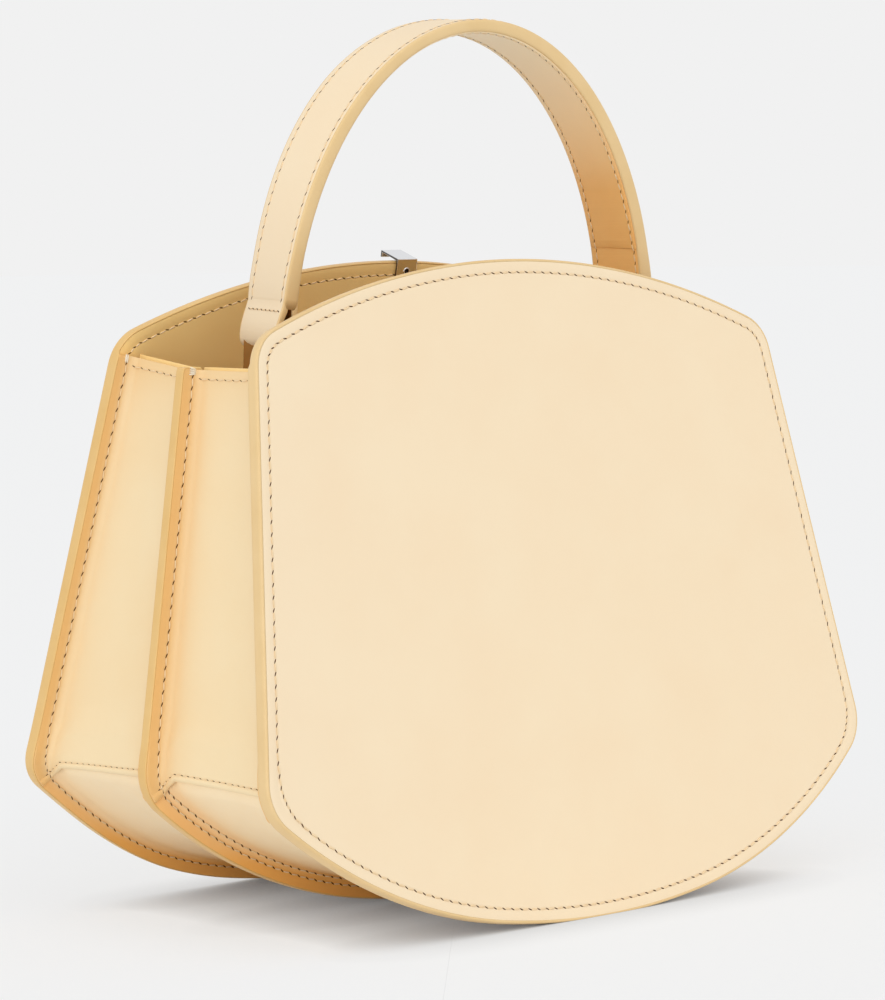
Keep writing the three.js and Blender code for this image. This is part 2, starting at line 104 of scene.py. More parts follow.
# Tabs in the rolled ends, their anchors on the divider, and the rivets.
TAB_INNER = HANDLE_HALF_SPAN + 1.5
TAB_THICK = 1.2
TAB_HALF_WIDTH = 8.0
TAB_LOW_Z = RIDGE_Z - 15.7
TAB_TOP_Z = ROLL_Z - 1.5
TAB_HEAD = 1.5
TAB_HEAD_LENGTH = 13.0
TAB_GAP = 0.3
DIVIDER_DIP = 20.0
ANCHOR_OUTER = TAB_INNER - TAB_GAP
ANCHOR_INNER = ANCHOR_OUTER - TAB_THICK
ANCHOR_LEG = 13.0
ANCHOR_NEAR = 0.9
ANCHOR_TOP_Z = RIDGE_Z - 1.2
ANCHOR_LOW_Z = RIDGE_Z - 41.7
ANCHOR_RIVET_RISE = 10.0
PIVOT_Z = RIDGE_Z - 8.7
RIVET_SHANK = 1.4
RIVET_CAP = ((0.0, 0.85), (1.2, 0.82), (2.3, 0.6), (2.9, 0.25), (2.95, 0.0))

# Clasp.
CLASP_SIDE = -4.0
CLASP_HALF_WIDTH = 4.15
CLASP_METAL = 0.7
CLASP_GAP = 0.3
CLASP_DROP = 7.0
CLASP_LIFT = 1.5
CLASP_BACK = -4.1
SCREW_DROP = 3.0
SCREW_HEAD = ((0.0, 0.04), (0.9, 0.04), (0.98, 0.14), (1.12, 0.18), (1.28, 0.12), (1.34, -0.05))
SCREW_RECESS = 0.91


# Finishes
def tone(red, green, blue):
    """Colour written as it is seen on a screen, 0 to 255."""
    def straight(value):
        value /= 255.0
        return value / 12.92 if value <= 0.04045 else ((value + 0.055) / 1.055) ** 2.4
    return (straight(red), straight(green), straight(blue), 1.0)


class Finish:
    """A node material with its Principled shader and short ways to add texture."""

    def __init__(self, name, colour, roughness, metallic=0.0):
        self.material = bpy.data.materials.new(name)
        self.material.use_nodes = True
        self.tree = self.material.node_tree
        self.shader = self.tree.nodes["Principled BSDF"]
        self.shader.inputs["Base Color"].default_value = colour
        self.shader.inputs["Roughness"].default_value = roughness
        self.shader.inputs["Metallic"].default_value = metallic
        self.place = self.tree.nodes.new("ShaderNodeTexCoord")

    def join(self, source, target):
        self.tree.links.new(source, target)

    def stretched(self, scale):
        mapping = self.tree.nodes.new("ShaderNodeMapping")
        mapping.inputs["Scale"].default_value = scale
        self.join(self.place.outputs["Object"], mapping.inputs["Vector"])
        return mapping.outputs["Vector"]

    def noise(self, scale, detail=3.0, roughness=0.55, where=None):
        node = self.tree.nodes.new("ShaderNodeTexNoise")
        node.inputs["Scale"].default_value = scale
        node.inputs["Detail"].default_value = detail
        node.inputs["Roughness"].default_value = roughness
        self.join(where or self.place.outputs["Object"], node.inputs["Vector"])
        return node.outputs["Fac"]

    def pebble(self, scale):
        node = self.tree.nodes.new("ShaderNodeTexVoronoi")
        node.feature = "SMOOTH_F1"
        node.inputs["Scale"].default_value = scale
        node.inputs["Smoothness"].default_value = 0.6
        self.join(self.place.outputs["Object"], node.inputs["Vector"])
        return node.outputs["Distance"]

    def spread(self, source, low, high, to_low, to_high):
        node = self.tree.nodes.new("ShaderNodeMapRange")
        node.inputs["From Min"].default_value = low
        node.inputs["From Max"].default_value = high
        node.inputs["To Min"].default_value = to_low
        node.inputs["To Max"].default_value = to_high
        self.join(source, node.inputs["Value"])
        return node.outputs["Result"]

    def blend(self, amount, first, second):
        node = self.tree.nodes.new("ShaderNodeMix")
        node.data_type = "RGBA"
        self.join(amount, node.inputs["Factor"])
        for value, socket in ((first, node.inputs[6]), (second, node.inputs[7])):
            if isinstance(value, tuple):
                socket.default_value = value
            else:
                self.join(value, socket)
        return node.outputs[2]

    def colour(self, source):
        self.join(source, self.shader.inputs["Base Color"])

    def roughness(self, source):
        self.join(source, self.shader.inputs["Roughness"])

    def bump(self, source, strength, distance, over=None):
        node = self.tree.nodes.new("ShaderNodeBump")
        node.inputs["Strength"].default_value = strength
        node.inputs["Distance"].default_value = distance
        self.join(source, node.inputs["Height"])
        if over:
            self.join(over, node.inputs["Normal"])
        self.join(node.outputs["Normal"], self.shader.inputs["Normal"])
        return node.outputs["Normal"]

    def attribute(self, name):
        node = self.tree.nodes.new("ShaderNodeAttribute")
        node.attribute_name = name
        return node.outputs["Fac"]


def grain_leather(name, pale, deep, roughness, warm=None):
    """Smooth calf: faint mottling, fine pebble and pores; warm is a painted warm shade, mixed in where the
    fold attribute marks shaded folds, low parts and top edges.
    """
    finish = Finish(name, pale, roughness)
    mottle = finish.spread(finish.noise(34.0, 4.0), 0.3, 0.7, 0.0, 1.0)
    skin = finish.blend(mottle, pale, deep)
    # Painted shade: the warm colour is mixed in by the fold attribute to stand in for shade and warm bounce
    # light.
    if warm:
        skin = finish.blend(finish.attribute("fold"), skin, warm)
    finish.colour(skin)
    wear = finish.noise(420.0, 5.0)
    finish.roughness(finish.spread(wear, 0.3, 0.7, roughness - 0.06, roughness + 0.06))
    pores = finish.bump(finish.noise(2600.0, 4.0, 0.65), 0.10, 0.00008)
    finish.bump(finish.pebble(1500.0), 0.10, 0.00010, pores)
    finish.shader.inputs["Specular IOR Level"].default_value = 0.32
    return finish


panel_leather = grain_leather("vanilla_calf", tone(247, 226, 192), tone(246, 223, 188), 0.52).material
# The gusset calf's warm colour is painted shade for its folds and low parts.
gusset_leather = grain_leather("gusset_calf", tone(247, 225, 183), tone(246, 221, 176), 0.50,
                               tone(236, 184, 108)).material
# Paler copy of the gusset calf for the base pieces: painted light standing in for bounce from the floor; its
# warm colour is painted shade.
lit_base_leather = grain_leather("base_calf_painted_light", tone(255, 233, 194), tone(254, 228, 186), 0.50,
                             tone(252, 190, 104)).material
lining_leather = grain_leather("tan_lining", tone(255, 222, 153), tone(253, 215, 142), 0.55).material
# Dark brown for the tabs, tab heads, anchor straps and the inside of the rolled ends: painted shade of the
# shadowed hollows they sit in.
tab_painted_shade = grain_leather("tab_painted_shade", tone(160, 110, 50), tone(142, 94, 40), 0.55).material


def strap_lining_finish():
    """Inner strap leather, paler toward the top as painted light, and creased across by the bend of the
    arch.
    """
    finish = Finish("strap_lining", tone(254, 200, 124), 0.55)
    creases = finish.noise(60.0, 4.0, 0.6, finish.stretched((0.6, 0.25, 30.0)))
    mottle = finish.spread(finish.noise(40.0, 4.0), 0.3, 0.7, 0.0, 1.0)
    height = finish.tree.nodes.new("ShaderNodeSeparateXYZ")
    finish.join(finish.place.outputs["Object"], height.inputs[0])
    # Painted light: higher up the arch the tan is mixed toward a pale colour.
    rise = finish.spread(height.outputs["Z"], 0.215, 0.262, 0.0, 1.0)
    tan = finish.blend(mottle, tone(254, 200, 124), tone(250, 190, 112))
    finish.colour(finish.blend(rise, tan, tone(255, 234, 196)))
    pores = finish.bump(finish.noise(2400.0, 4.0, 0.65), 0.12, 0.00008)
    finish.bump(creases, 0.22, 0.0004, pores)
    return finish.material


def edge_paint_finish(name, pale, deep):
    finish = Finish(name, pale, 0.42)
    shade = finish.spread(finish.noise(70.0, 3.0), 0.3, 0.7, 0.0, 1.0)
    finish.colour(finish.blend(shade, pale, deep))
    finish.bump(finish.noise(260.0, 3.0), 0.10, 0.0003)
    finish.shader.inputs["Specular IOR Level"].default_value = 0.4
    return finish.material


def thread_finish(name, pale, deep):
    """Waxed thread: fine twist lines and a little soil."""
    finish = Finish(name, pale, 0.6)
    finish.colour(finish.blend(finish.noise(900.0, 2.0), pale, deep))
    finish.bump(finish.noise(3800.0, 2.0, 0.5, finish.stretched((1.0, 1.0, 1.6))), 0.4, 0.00008)
    return finish.material


def metal_finish(name, colour, roughness):
    finish = Finish(name, colour, roughness, 1.0)
    wear = finish.noise(1200.0, 3.0, 0.5, finish.stretched((1.0, 6.0, 1.0)))
    finish.roughness(finish.spread(wear, 0.3, 0.7, roughness * 0.7, roughness * 1.4))
    return finish.material


def plain_finish(name, first, second, roughness, scale=300.0):
    finish = Finish(name, first, roughness)
    finish.colour(finish.blend(finish.noise(scale, 3.0), first, second))
    finish.shader.inputs["Specular IOR Level"].default_value = 0.1
    return finish.material


strap_lining = strap_lining_finish()
edge_paint = edge_paint_finish("edge_paint", tone(236, 204, 150), tone(231, 197, 140))
# Darker, warmer copy of the edge paint for the back panel, the ridge and the lining rims: painted shade.
shaded_edge_paint = edge_paint_finish("shaded_edge_paint", tone(233, 194, 128), tone(228, 186, 116))
beige_thread = thread_finish("beige_thread", tone(244, 220, 180), tone(234, 205, 160))
white_thread = thread_finish("bar_tack_thread", tone(252, 246, 232), tone(238, 226, 202))
# Needle holes are small dark marks on the surface: painted shade of the holes.
painted_hole_shade = plain_finish("painted_hole_shade", tone(94, 54, 14), tone(76, 42, 8), 0.9)
chrome = metal_finish("clasp_chrome", (0.78, 0.79, 0.81, 1.0), 0.09)
# Near-black metal for the clasp's cut edges: painted shade.
shaded_edge_metal = metal_finish("clasp_edge_painted_shade", (0.13, 0.12, 0.11, 1.0), 0.3)
rivet_steel = metal_finish("rivet_steel", (0.62, 0.62, 0.63, 1.0), 0.28)
painted_recess_shade = plain_finish("screw_recess_painted_shade", tone(28, 25, 24), tone(40, 36, 33), 0.5)


# Panel rim: a walk along the outline from its lowest point, in millimetres
FLANK_CENTRE = ((BOTTOM_RADIUS - FLANK_RADIUS) * math.sin(BOTTOM_TURN),
                BOTTOM_RADIUS - (BOTTOM_RADIUS - FLANK_RADIUS) * math.cos(BOTTOM_TURN))
TOP_CENTRE = (0.0, PANEL_HEIGHT - TOP_RADIUS)
flank_run = BOTTOM_HALF_WIDTH - FLANK_CENTRE[0]
bottom_vertex_v = FLANK_CENTRE[1] - math.sqrt(FLANK_RADIUS ** 2 - flank_run ** 2)
top_vertex_v = TOP_CENTRE[1] + math.sqrt(TOP_RADIUS ** 2 - TOP_HALF_WIDTH ** 2)
side_run, side_rise = TOP_HALF_WIDTH - BOTTOM_HALF_WIDTH, top_vertex_v - bottom_vertex_v
side_length = math.hypot(side_run, side_rise)
SIDE_U, SIDE_V = side_run / side_length, side_rise / side_length
SIDE_ANGLE = math.atan2(-SIDE_U, SIDE_V)


def corner_arc(radius, centre, small, upper):
    """Centre of the small arc between the side and a large arc, and the angle where they meet."""
    u = BOTTOM_HALF_WIDTH - SIDE_V * small - centre[0]
    v = bottom_vertex_v + SIDE_U * small - centre[1]
    half = u * SIDE_U + v * SIDE_V
    reach = math.sqrt(half * half - (u * u + v * v - (radius - small) ** 2))
    along = -half + (reach if upper else -reach)
    u, v = u + SIDE_U * along, v + SIDE_V * along
    return (u + centre[0], v + centre[1]), math.atan2(v, u)


def on_arc(centre, radius, angle):
    """Point of a round arc."""
    return centre[0] + radius * math.cos(angle), centre[1] + radius * math.sin(angle)


low_centre, low_angle = corner_arc(FLANK_RADIUS, FLANK_CENTRE, LOW_CORNER, False)
high_centre, high_angle = corner_arc(TOP_RADIUS, TOP_CENTRE, HIGH_CORNER, True)
MIDDLE_END = BOTTOM_RADIUS * BOTTOM_TURN
BOTTOM_END = MIDDLE_END + FLANK_RADIUS * (low_angle + math.pi / 2 - BOTTOM_TURN)
SIDE_START = BOTTOM_END + LOW_CORNER * (SIDE_ANGLE - low_angle)
side_foot = on_arc(low_centre, LOW_CORNER, SIDE_ANGLE)
side_head = on_arc(high_centre, HIGH_CORNER, SIDE_ANGLE)
SIDE_END = SIDE_START + math.dist(side_foot, side_head)
TOP_START = SIDE_END + HIGH_CORNER * (high_angle - SIDE_ANGLE)
HALF_RIM = TOP_START + TOP_RADIUS * (math.pi / 2 - high_angle)


def rim_bend(walk, straight):
    """Centre, radius and angle of the outline at a walk on its right half."""
    if walk < MIDDLE_END:
        return (0.0, BOTTOM_RADIUS), BOTTOM_RADIUS, walk / BOTTOM_RADIUS - math.pi / 2
    if walk < BOTTOM_END:
        return FLANK_CENTRE, FLANK_RADIUS, BOTTOM_TURN - math.pi / 2 + (walk - MIDDLE_END) / FLANK_RADIUS
    if walk < SIDE_START:
        return low_centre, LOW_CORNER, low_angle + (walk - BOTTOM_END) / LOW_CORNER
    if walk < SIDE_END or straight:
        step = walk - SIDE_START
        return (low_centre[0] + SIDE_U * step, low_centre[1] + SIDE_V * step), LOW_CORNER, SIDE_ANGLE
    if walk < TOP_START:
        return high_centre, HIGH_CORNER, SIDE_ANGLE + (walk - SIDE_END) / HIGH_CORNER
    return TOP_CENTRE, TOP_RADIUS, high_angle + (walk - TOP_START) / TOP_RADIUS


def rim(s, inset=0.0, straight=False):
    """Point of the outline at walk s (left is negative), moved in by inset."""
    centre, radius, angle = rim_bend(abs(s), straight)
    u, v = on_arc(centre, radius - inset, angle)
    return (u if s >= 0 else -u), v


def rim_out(s, straight=False):
    """Direction out of the panel at walk s."""
    angle = rim_bend(abs(s), straight)[2]
    return (math.cos(angle) if s >= 0 else -math.cos(angle)), math.sin(angle)


def walk_to(v):
    """Walk along the right side up to height v."""
    return SIDE_START + (v - side_foot[1]) / SIDE_V


def half_marks(step, corner_step):
    """Walk values up the right half of the outline, closer together in the corners."""
    marks = []
    stretches = ((0.0, BOTTOM_END, step), (BOTTOM_END, SIDE_START, corner_step),
                 (SIDE_START, SIDE_END, step), (SIDE_END, TOP_START, corner_step),
                 (TOP_START, HALF_RIM, step))
    for start, end, size in stretches:
        count = max(1, round((end - start) / size))
        marks += [start + (end - start) * k / count for k in range(count)]
    return marks


def rim_marks(step, corner_step):
    """Walk values round the whole outline."""
    marks = half_marks(step, corner_step)
    return marks + [HALF_RIM] + [-s for s in reversed(marks[1:])]


COS, SIN = math.cos(LEAN), math.sin(LEAN)


def on_panel(u, w, v):
    """Front panel coordinates to object metres; w is the depth inward from the outer face."""
    return Vector((u, -HALF_DEPTH + v * SIN + w * COS, v * COS - w * SIN - FOOT_FLAT)) * MM


def on_divider(u, y, v):
    return Vector((u, y, v * COS - FOOT_FLAT)) * MM


TURN = {"front": Matrix.Identity(4), "back": Matrix.Rotation(math.pi, 4, "Z")}


def hands(side):
    """Names and directions of the two hands of a panel; turning the back one round swaps its names."""
    return (("left", -1), ("right", 1)) if side == "front" else (("right", -1), ("left", 1))


def clamped(share):
    return min(max(share, 0.0), 1.0)


def eased(share):
    """0 to 1 with a soft start and end."""
    share = clamped(share)
    return share * share * (3 - 2 * share)


CORNER_LIFT = 2.7


def settle(spot):
    """The lower corners of the back ride up a little, as the soft gusset pulls them."""
    x, y, z = spot / MM
    outward, backward, downward = (abs(x) - 66.0) / 56.0, (y - 6.0) / 40.0, (62.0 - z) / 36.0
    spot.z += CORNER_LIFT * eased(outward) * eased(backward) * eased(downward) * MM


# Making pieces
def finish_piece(name, bm, materials, body, stands_for=(), place=None):
    """Turns a bmesh into a piece that rides on a body, standing flat on the floor."""
    if place is not None:
        bmesh.ops.transform(bm, matrix=place, verts=bm.verts)
    for vert in bm.verts:
        if body == "bag":
            settle(vert.co)
        vert.co.z = max(vert.co.z, 0.0)
    bmesh.ops.recalc_face_normals(bm, faces=bm.faces)
    mesh = bpy.data.meshes.new(name)
    bm.to_mesh(mesh)
    bm.free()
    for material in materials:
        mesh.materials.append(material)
    piece = bpy.data.objects.new(name, mesh)
    bpy.context.scene.collection.objects.link(piece)
    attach(piece, body)
    if stands_for:
        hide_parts(*stands_for)
    return piece


def soften(piece, width, segments=3, angle=50.0):
    modifier = piece.modifiers.new("soft_edges", "BEVEL")
    modifier.width = width * MM
    modifier.segments = segments
    modifier.limit_method = "ANGLE"
    modifier.angle_limit = math.radians(angle)
    modifier.harden_normals = False
    return modifier


def thicken(piece, thickness, offset=0.0, rim_material=0):
    modifier = piece.modifiers.new("leather_thickness", "SOLIDIFY")
    modifier.thickness = thickness * MM
    modifier.offset = offset
    modifier.use_even_offset = True
    modifier.material_offset_rim = rim_material
    return modifier


def smooth_faces(bm, flat=()):
    for face in bm.faces:
        face.smooth = face not in flat


def grid_sheet(columns, rows, where):
    """A bmesh grid whose points are moved to where(a, b), with a and b from 0 to 1."""
    bm = bmesh.new()
    bmesh.ops.create_grid(bm, x_segments=columns, y_segments=rows, size=1.0)
    for vert in bm.verts:
        vert.co = where((vert.co.x + 1) / 2, (vert.co.y + 1) / 2)
    smooth_faces(bm)
    return bm


def draw_out(bm, faces, way):
    """Extrudes flat faces into a closed block."""
    made = bmesh.ops.extrude_face_region(bm, geom=faces)
    moved = [item for item in made["geom"] if isinstance(item, bmesh.types.BMVert)]
    bmesh.ops.translate(bm, verts=moved, vec=Vector(way))
    bmesh.ops.recalc_face_normals(bm, faces=bm.faces)


def round_edges(bm, edges, radius, segments, clamp=True):
    bmesh.ops.bevel(bm, geom=edges, offset=radius, offset_type="OFFSET", segments=segments, profile=0.5,
                    affect="EDGES", material=-1, clamp_overlap=clamp)


def spun(profile, steps, unit, merge):
    """A bmesh turned about Z from a profile of (radius, height) in the given unit."""
    bm = bmesh.new()
    verts = [bm.verts.new(Vector((radius, 0, height)) * unit) for radius, height in profile]
    edges = [bm.edges.new(pair) for pair in zip(verts, verts[1:])]
    bmesh.ops.spin(bm, geom=verts + edges, cent=(0, 0, 0), axis=(0, 0, 1), angle=2 * math.pi, steps=steps,
                   use_merge=True)
    bmesh.ops.remove_doubles(bm, verts=bm.verts, dist=merge)
    smooth_faces(bm)
    return bm


def outline_plate(points, front, back, round_front, round_back):
    """A plate cut to a closed outline of (u, v), from depth front to depth back, edges rounded."""
    bm = bmesh.new()
    bmesh.ops.create_circle(bm, cap_ends=True, segments=len(points), radius=1.0)
    bm.verts.ensure_lookup_table()
    for vert, (u, v) in zip(bm.verts, points):
        vert.co = Vector((u, front, v))
    draw_out(bm, bm.faces[:], (0, back - front, 0))
    for depth, radius in ((front, round_front), (back, round_back)):
        round_edges(bm, [e for e in bm.edges if all(abs(v.co.y - depth) < 1e-4 for v in e.verts)], radius, 4)
    return bm


def flat_face(bm, depth):
    faces = [f for f in bm.faces if len(f.verts) > 20 and abs(f.calc_center_median().y - depth) < 1e-3]
    return max(faces, key=lambda f: f.calc_area())


def stitch_channel(bm, face, reached, line, depth):
    """Presses a shallow channel into a flat face, line millimetres in from the rim."""
    steps = ((line - 0.75 - reached, 0.0), (0.5, -depth), (0.5, 0.0), (0.5, depth))
    for thickness, press in steps:
        bmesh.ops.inset_region(bm, faces=[face], thickness=thickness, depth=press,
                               use_boundary=True, use_even_offset=True)
    return face


def panel_pieces(side):
    """Outer shell, lining and painted edge of one panel."""
    outline = [rim(s, 0.4) for s in rim_marks(6.0, 1.4)]
    shell = outline_plate(outline, 0.0, SHELL, 0.55, 0.05)
    outer = stitch_channel(shell, flat_face(shell, 0.0), COAT, RIM_STITCH, CHANNEL_DEPTH)
    smooth_faces(shell, {outer})
    lining = outline_plate(outline, SHELL + 0.02, PANEL, 0.05, 0.5)
    inner = stitch_channel(lining, flat_face(lining, PANEL), COAT, RIM_STITCH, CHANNEL_DEPTH)
    smooth_faces(lining, {inner})
    for bm in (shell, lining):
        for vert in bm.verts:
            vert.co = on_panel(*vert.co)
    finish_piece(f"{side}_panel_shell", shell, (panel_leather,), "bag",
                 (f"{side}_panel_leather", f"{side}_panel_board"), TURN[side])
    finish_piece(f"{side}_panel_inside", lining, (lining_leather,), "bag",
                 (f"{side}_panel_lining",), TURN[side])
    stations = []
    flange_end = walk_to(GUSSET_TOP + RISE[side]) - 1.0
    for s in rim_marks(3.0, 1.2):
        past = clamped((abs(s) - flange_end) / 1.6)
        far = PANEL + GUSSET + 0.06 - (GUSSET + 0.04) * past
        stations.append((*rim(s), *rim_out(s), 0.0, far))
    stations.append(stations[0])
    # The back panel's edge takes the shaded copy of the edge paint: painted shade.
    edge_coat(f"{side}_panel_edge", stations, (COAT, 0.5), on_panel, TURN[side],
              edge_paint if side == "front" else shaded_edge_paint)


def edge_coat(name, stations, deep, point, place, paint):
    """Domed edge paint; each station is (u, v, out_u, out_v, near, far), deep its reach at near and far."""
    count = 12

    def where(a, b):
        u, v, out_u, out_v, near, far = stations[round(a * (len(stations) - 1))]
        turn = math.pi * (round(b * count) % count) / (count - 1)
        side, top = math.cos(turn), math.sin(turn)
        w = (near + far) / 2 - (far - near) / 2 * math.copysign(abs(side) ** 0.5, side)
        rise = (deep[0] if side > 0 else deep[1]) * (abs(top) ** 0.5 - 1.0)
        return point(u + out_u * rise, w, v + out_v * rise)

    bm = grid_sheet(len(stations) - 1, count, where)
    bmesh.ops.remove_doubles(bm, verts=bm.verts, dist=1e-7)
    bmesh.ops.holes_fill(bm, edges=[e for e in bm.edges if e.is_boundary], sides=0)
    finish_piece(name, bm, (paint,), "bag", (), place)


# Gussets
def gusset_section():
    """Depth from the panel face and inset from the rim across one gusset, flange to flange."""
    def fold(turn):
        return FOLD * (1 - math.cos(turn)), WEB - FOLD + FOLD * math.sin(turn)

    points = [(FLANGE_MID_PANEL, inset) for inset in (0.45, 1.2, 2.2, WEB - FOLD)]
    for k in range(1, 7):
        step, inset = fold(math.pi / 2 * k / 6)
        points.append((FLANGE_MID_PANEL + step, inset))
    start, end = FLANGE_MID_PANEL + FOLD, FLANGE_MID_DIVIDER - FOLD
    for k in range(1, 12):
        share = k / 12
        points.append((start + (end - start) * share, WEB + 0.7 * math.sin(math.pi * share)))
    for k in range(7):
        step, inset = fold(math.pi / 2 * (1 - k / 6))
        points.append((FLANGE_MID_DIVIDER - step, inset))
    points += [(FLANGE_MID_DIVIDER, inset) for inset in (2.2, 1.2, 0.45)]
    return points


SECTION = gusset_section()
PANEL_SIDE = FLANGE_MID_PANEL + FOLD
DIVIDER_SIDE = FLANGE_MID_DIVIDER - FOLD


def corner_inset(s):
    """How far the round upper corner falls in from the line of the side."""
    return max(abs(s) - SIDE_END, 0.0) ** 2 / (2 * HIGH_CORNER)


def across(s, y, inset):
    """A gusset point: on the leaning panel at one end, on the upright divider at the other."""
    u, v = rim(s, max(inset, corner_inset(s) + 0.4), True)
    near = on_panel(u, min(y, PANEL_SIDE), v)
    far = on_divider(u, -HALF_DEPTH + max(y, DIVIDER_SIDE), v)
    return near.lerp(far, divider_share(y))


def divider_share(y):
    """0 at the panel, 1 at the divider."""
    return clamped((y - PANEL_SIDE) / (DIVIDER_SIDE - PANEL_SIDE))


def top_walk(side, y):
    """Where the gusset leather ends, higher at its panel than at the divider."""
    return walk_to(GUSSET_TOP - 0.4 + RISE[side] * (1.0 - divider_share(y)))


def section_runs():
    """Length of leather from each point of the section to the nearer flange tip."""
    runs = [0.0]
    for before, after in zip(SECTION, SECTION[1:]):
        runs.append(runs[-1] + math.dist(before, after))
    return [min(run, runs[-1] - run) for run in runs]


RUNS = section_runs()
LAST = len(SECTION) - 1


def section_at(place):
    """Depth, inset, run and way out of the gusset section at a place from 0 to LAST."""
    j = min(max(int(place), 0), LAST - 1)
    rest = place - j
    y, inset = (SECTION[j][n] + (SECTION[j + 1][n] - SECTION[j][n]) * rest for n in (0, 1))
    k = round(place)
    before, after = SECTION[max(k - 1, 0)], SECTION[min(k + 1, LAST)]
    size = math.dist(before, after)
    out = (after[1] - before[1]) / size, (before[0] - after[0]) / size
    return y, inset, RUNS[j] + (RUNS[j + 1] - RUNS[j]) * rest, out


def painted_fold_shade(j, z):
    """How much painted warm shade the leather gets: on the flanges, fading over the fold, low down and by
    the top edge.
    """
    floor = clamped(1.0 - z / 26.0)
    fade = 2.2 + 4.0 * divider_share(SECTION[j][0])
    fold = 0.66 * math.exp(-max(RUNS[j] - 2.6, 0.0) / fade) + 0.12 * math.exp(-RUNS[j] / 9.0)
    top = 0.45 * math.exp(-max(RIDGE_Z - z, 0.0) / 9.0)
    return min(max(fold, top) + 0.95 * floor ** 1.1, 1.0)


LAP_WALK = SIDE_START - LAP_DOWN
FLANGE_LAP_WALK = SIDE_START - FLANGE_LAP_DOWN


def lap_toe(run):
    """0 on the web, rising to 1 on the flange."""
    return clamped((LAP_CORNER - run) / 8.0)


def lap_walk(side, y, run):
    """Where a side piece ends: level on the web, slanting down over the flange."""
    level = LAP_WALK - LAP_DROP[side] * (1.0 - divider_share(y))
    return level + (FLANGE_LAP_WALK - LAP_WALK) * lap_toe(run)


def lap_lift(past, run):
    """How far the side piece stands out, past millimetres above its lower edge, with a rolled lip."""
    lip = max(1.0 - ((past - LIP_MIDDLE) / LIP_HALF_WIDTH) ** 2, 0.0)
    return (LAP_PROUD * eased((22.0 - past) / 9.0) + LIP_HEIGHT * lip) * (1.0 - 0.5 * lap_toe(run))


def side_spot(side, hand, past, place, proud=0.0):
    """Point of a side piece, past millimetres above its lower edge and proud of its middle."""
    y, inset, run, out = section_at(place)
    lift = lap_lift(past, run) + proud
    return across(hand * (lap_walk(side, y, run) + past), y + out[0] * lift, inset + out[1] * lift)


def gusset_side_point(side, hand, a, j):
    y, _, run, _ = section_at(j)
    length = top_walk(side, y) - lap_walk(side, y, run)
    past = length + (14.0 - length) * a / 0.4 if a < 0.4 else 14.0 * (1.0 - a) / 0.6
    return side_spot(side, hand, past, j)


def gusset_base_point(side, a, j):
    y, inset, run, _ = section_at(j)
    end = lap_walk(side, y, run) - 0.15 + 9.0 * eased((run - 7.0) / 2.5)
    return across((2 * a - 1) * end, y, inset)


def gusset_piece(name, columns, point, side, nodes, leather=gusset_leather):
    rows = len(SECTION) - 1
    shade_amounts = []

    def where(a, b):
        j = round(b * rows)
        spot = point(a, j)
        spot.z = max(spot.z, GUSSET / 2 * MM)
        shade_amounts.append(painted_fold_shade(j, spot.z / MM))
        return spot

    bm = grid_sheet(columns, rows, where)
    piece = finish_piece(name, bm, (leather, edge_paint), "bag", nodes, TURN[side])
    # The fold attribute carries the painted warm shade into the leather's material.
    layer = piece.data.attributes.new("fold", "FLOAT", "POINT")
    layer.data.foreach_set("value", shade_amounts)
    thicken(piece, GUSSET, 0.0, 0)
    soften(piece, 0.3, 3)
    return piece


def lining_strip(side):
    """Tan lining inside the gusset, its top edge a little above the leather."""
    def where(a, b):
        y = 3.9 + (HALF_DEPTH - 4.8) * b
        s = (2 * a - 1) * (top_walk(side, y) + 1.1)
        return across(s, y, WEB + 1.7 + 0.4 * math.sin(math.pi * b))

    bm = grid_sheet(130, 14, where)
    # Its rim takes the shaded copy of the edge paint: painted shade.
    piece = finish_piece(f"{side}_gusset_inside", bm, (lining_leather, shaded_edge_paint), "bag",
                         (f"{side}_gusset_lining",), TURN[side])
    thicken(piece, 0.7, 0.0, 1)
    soften(piece, 0.15, 2)


RIDGE_WALK = walk_to(GUSSET_TOP)


def divider_piece():
    right = [s for s in half_marks(6.0, 1.4) if s < RIDGE_WALK - 2.0]
    edge = [rim(s, 0.5, True) for s in right + [RIDGE_WALK - 1.0]]
    reach = rim(RIDGE_WALK)[0]
    for back, drop in ((1.5, 0.5), (7.5, 0.5), (10.0, 4.0), (15.5, 16.0), (19.0, DIVIDER_DIP)):
        edge.append((reach - back, GUSSET_TOP - drop))
    outline = edge + [(-u, v) for u, v in reversed(edge[1:])]
    bm = outline_plate(outline, -0.6, 0.6, 0.2, 0.2)
    for face in bm.faces:
        face.smooth = len(face.verts) <= 20
    for vert in bm.verts:
        vert.co = on_divider(vert.co.x, vert.co.y, vert.co.z)
    finish_piece("divider_panel", bm, (lining_leather,), "bag", ("divider",))
    ridge_edge()


def ridge_edge():
    """Painted edge over the divider and the two flanges sewn to it, turned over at the top."""
    half = 0.66 + GUSSET
    right = [(*rim(s), *rim_out(s), -half, half) for s in half_marks(3.0, 1.2) if s < RIDGE_WALK - 1.9]
    out, up = rim_out(RIDGE_WALK, True), (SIDE_U, SIDE_V)
    middle = rim(RIDGE_WALK - 1.8, 1.8, True)
    for k in range(7):
        turn = math.pi / 2 * k / 6
        way = [math.cos(turn) * out[n] + math.sin(turn) * up[n] for n in (0, 1)]
        right.append((middle[0] + 1.8 * way[0], middle[1] + 1.8 * way[1], *way, -half, half))
    end = rim(RIDGE_WALK, 6.4, True)
    right.append((*end, *up, -half, half))
    left = [(-u, v, -a, b, near, far) for u, v, a, b, near, far in reversed(right[1:])]
    # The ridge edge takes the shaded copy of the edge paint: painted shade.
    edge_coat("ridge_edge", left + right, (0.5, 0.5), on_divider, None, shaded_edge_paint)


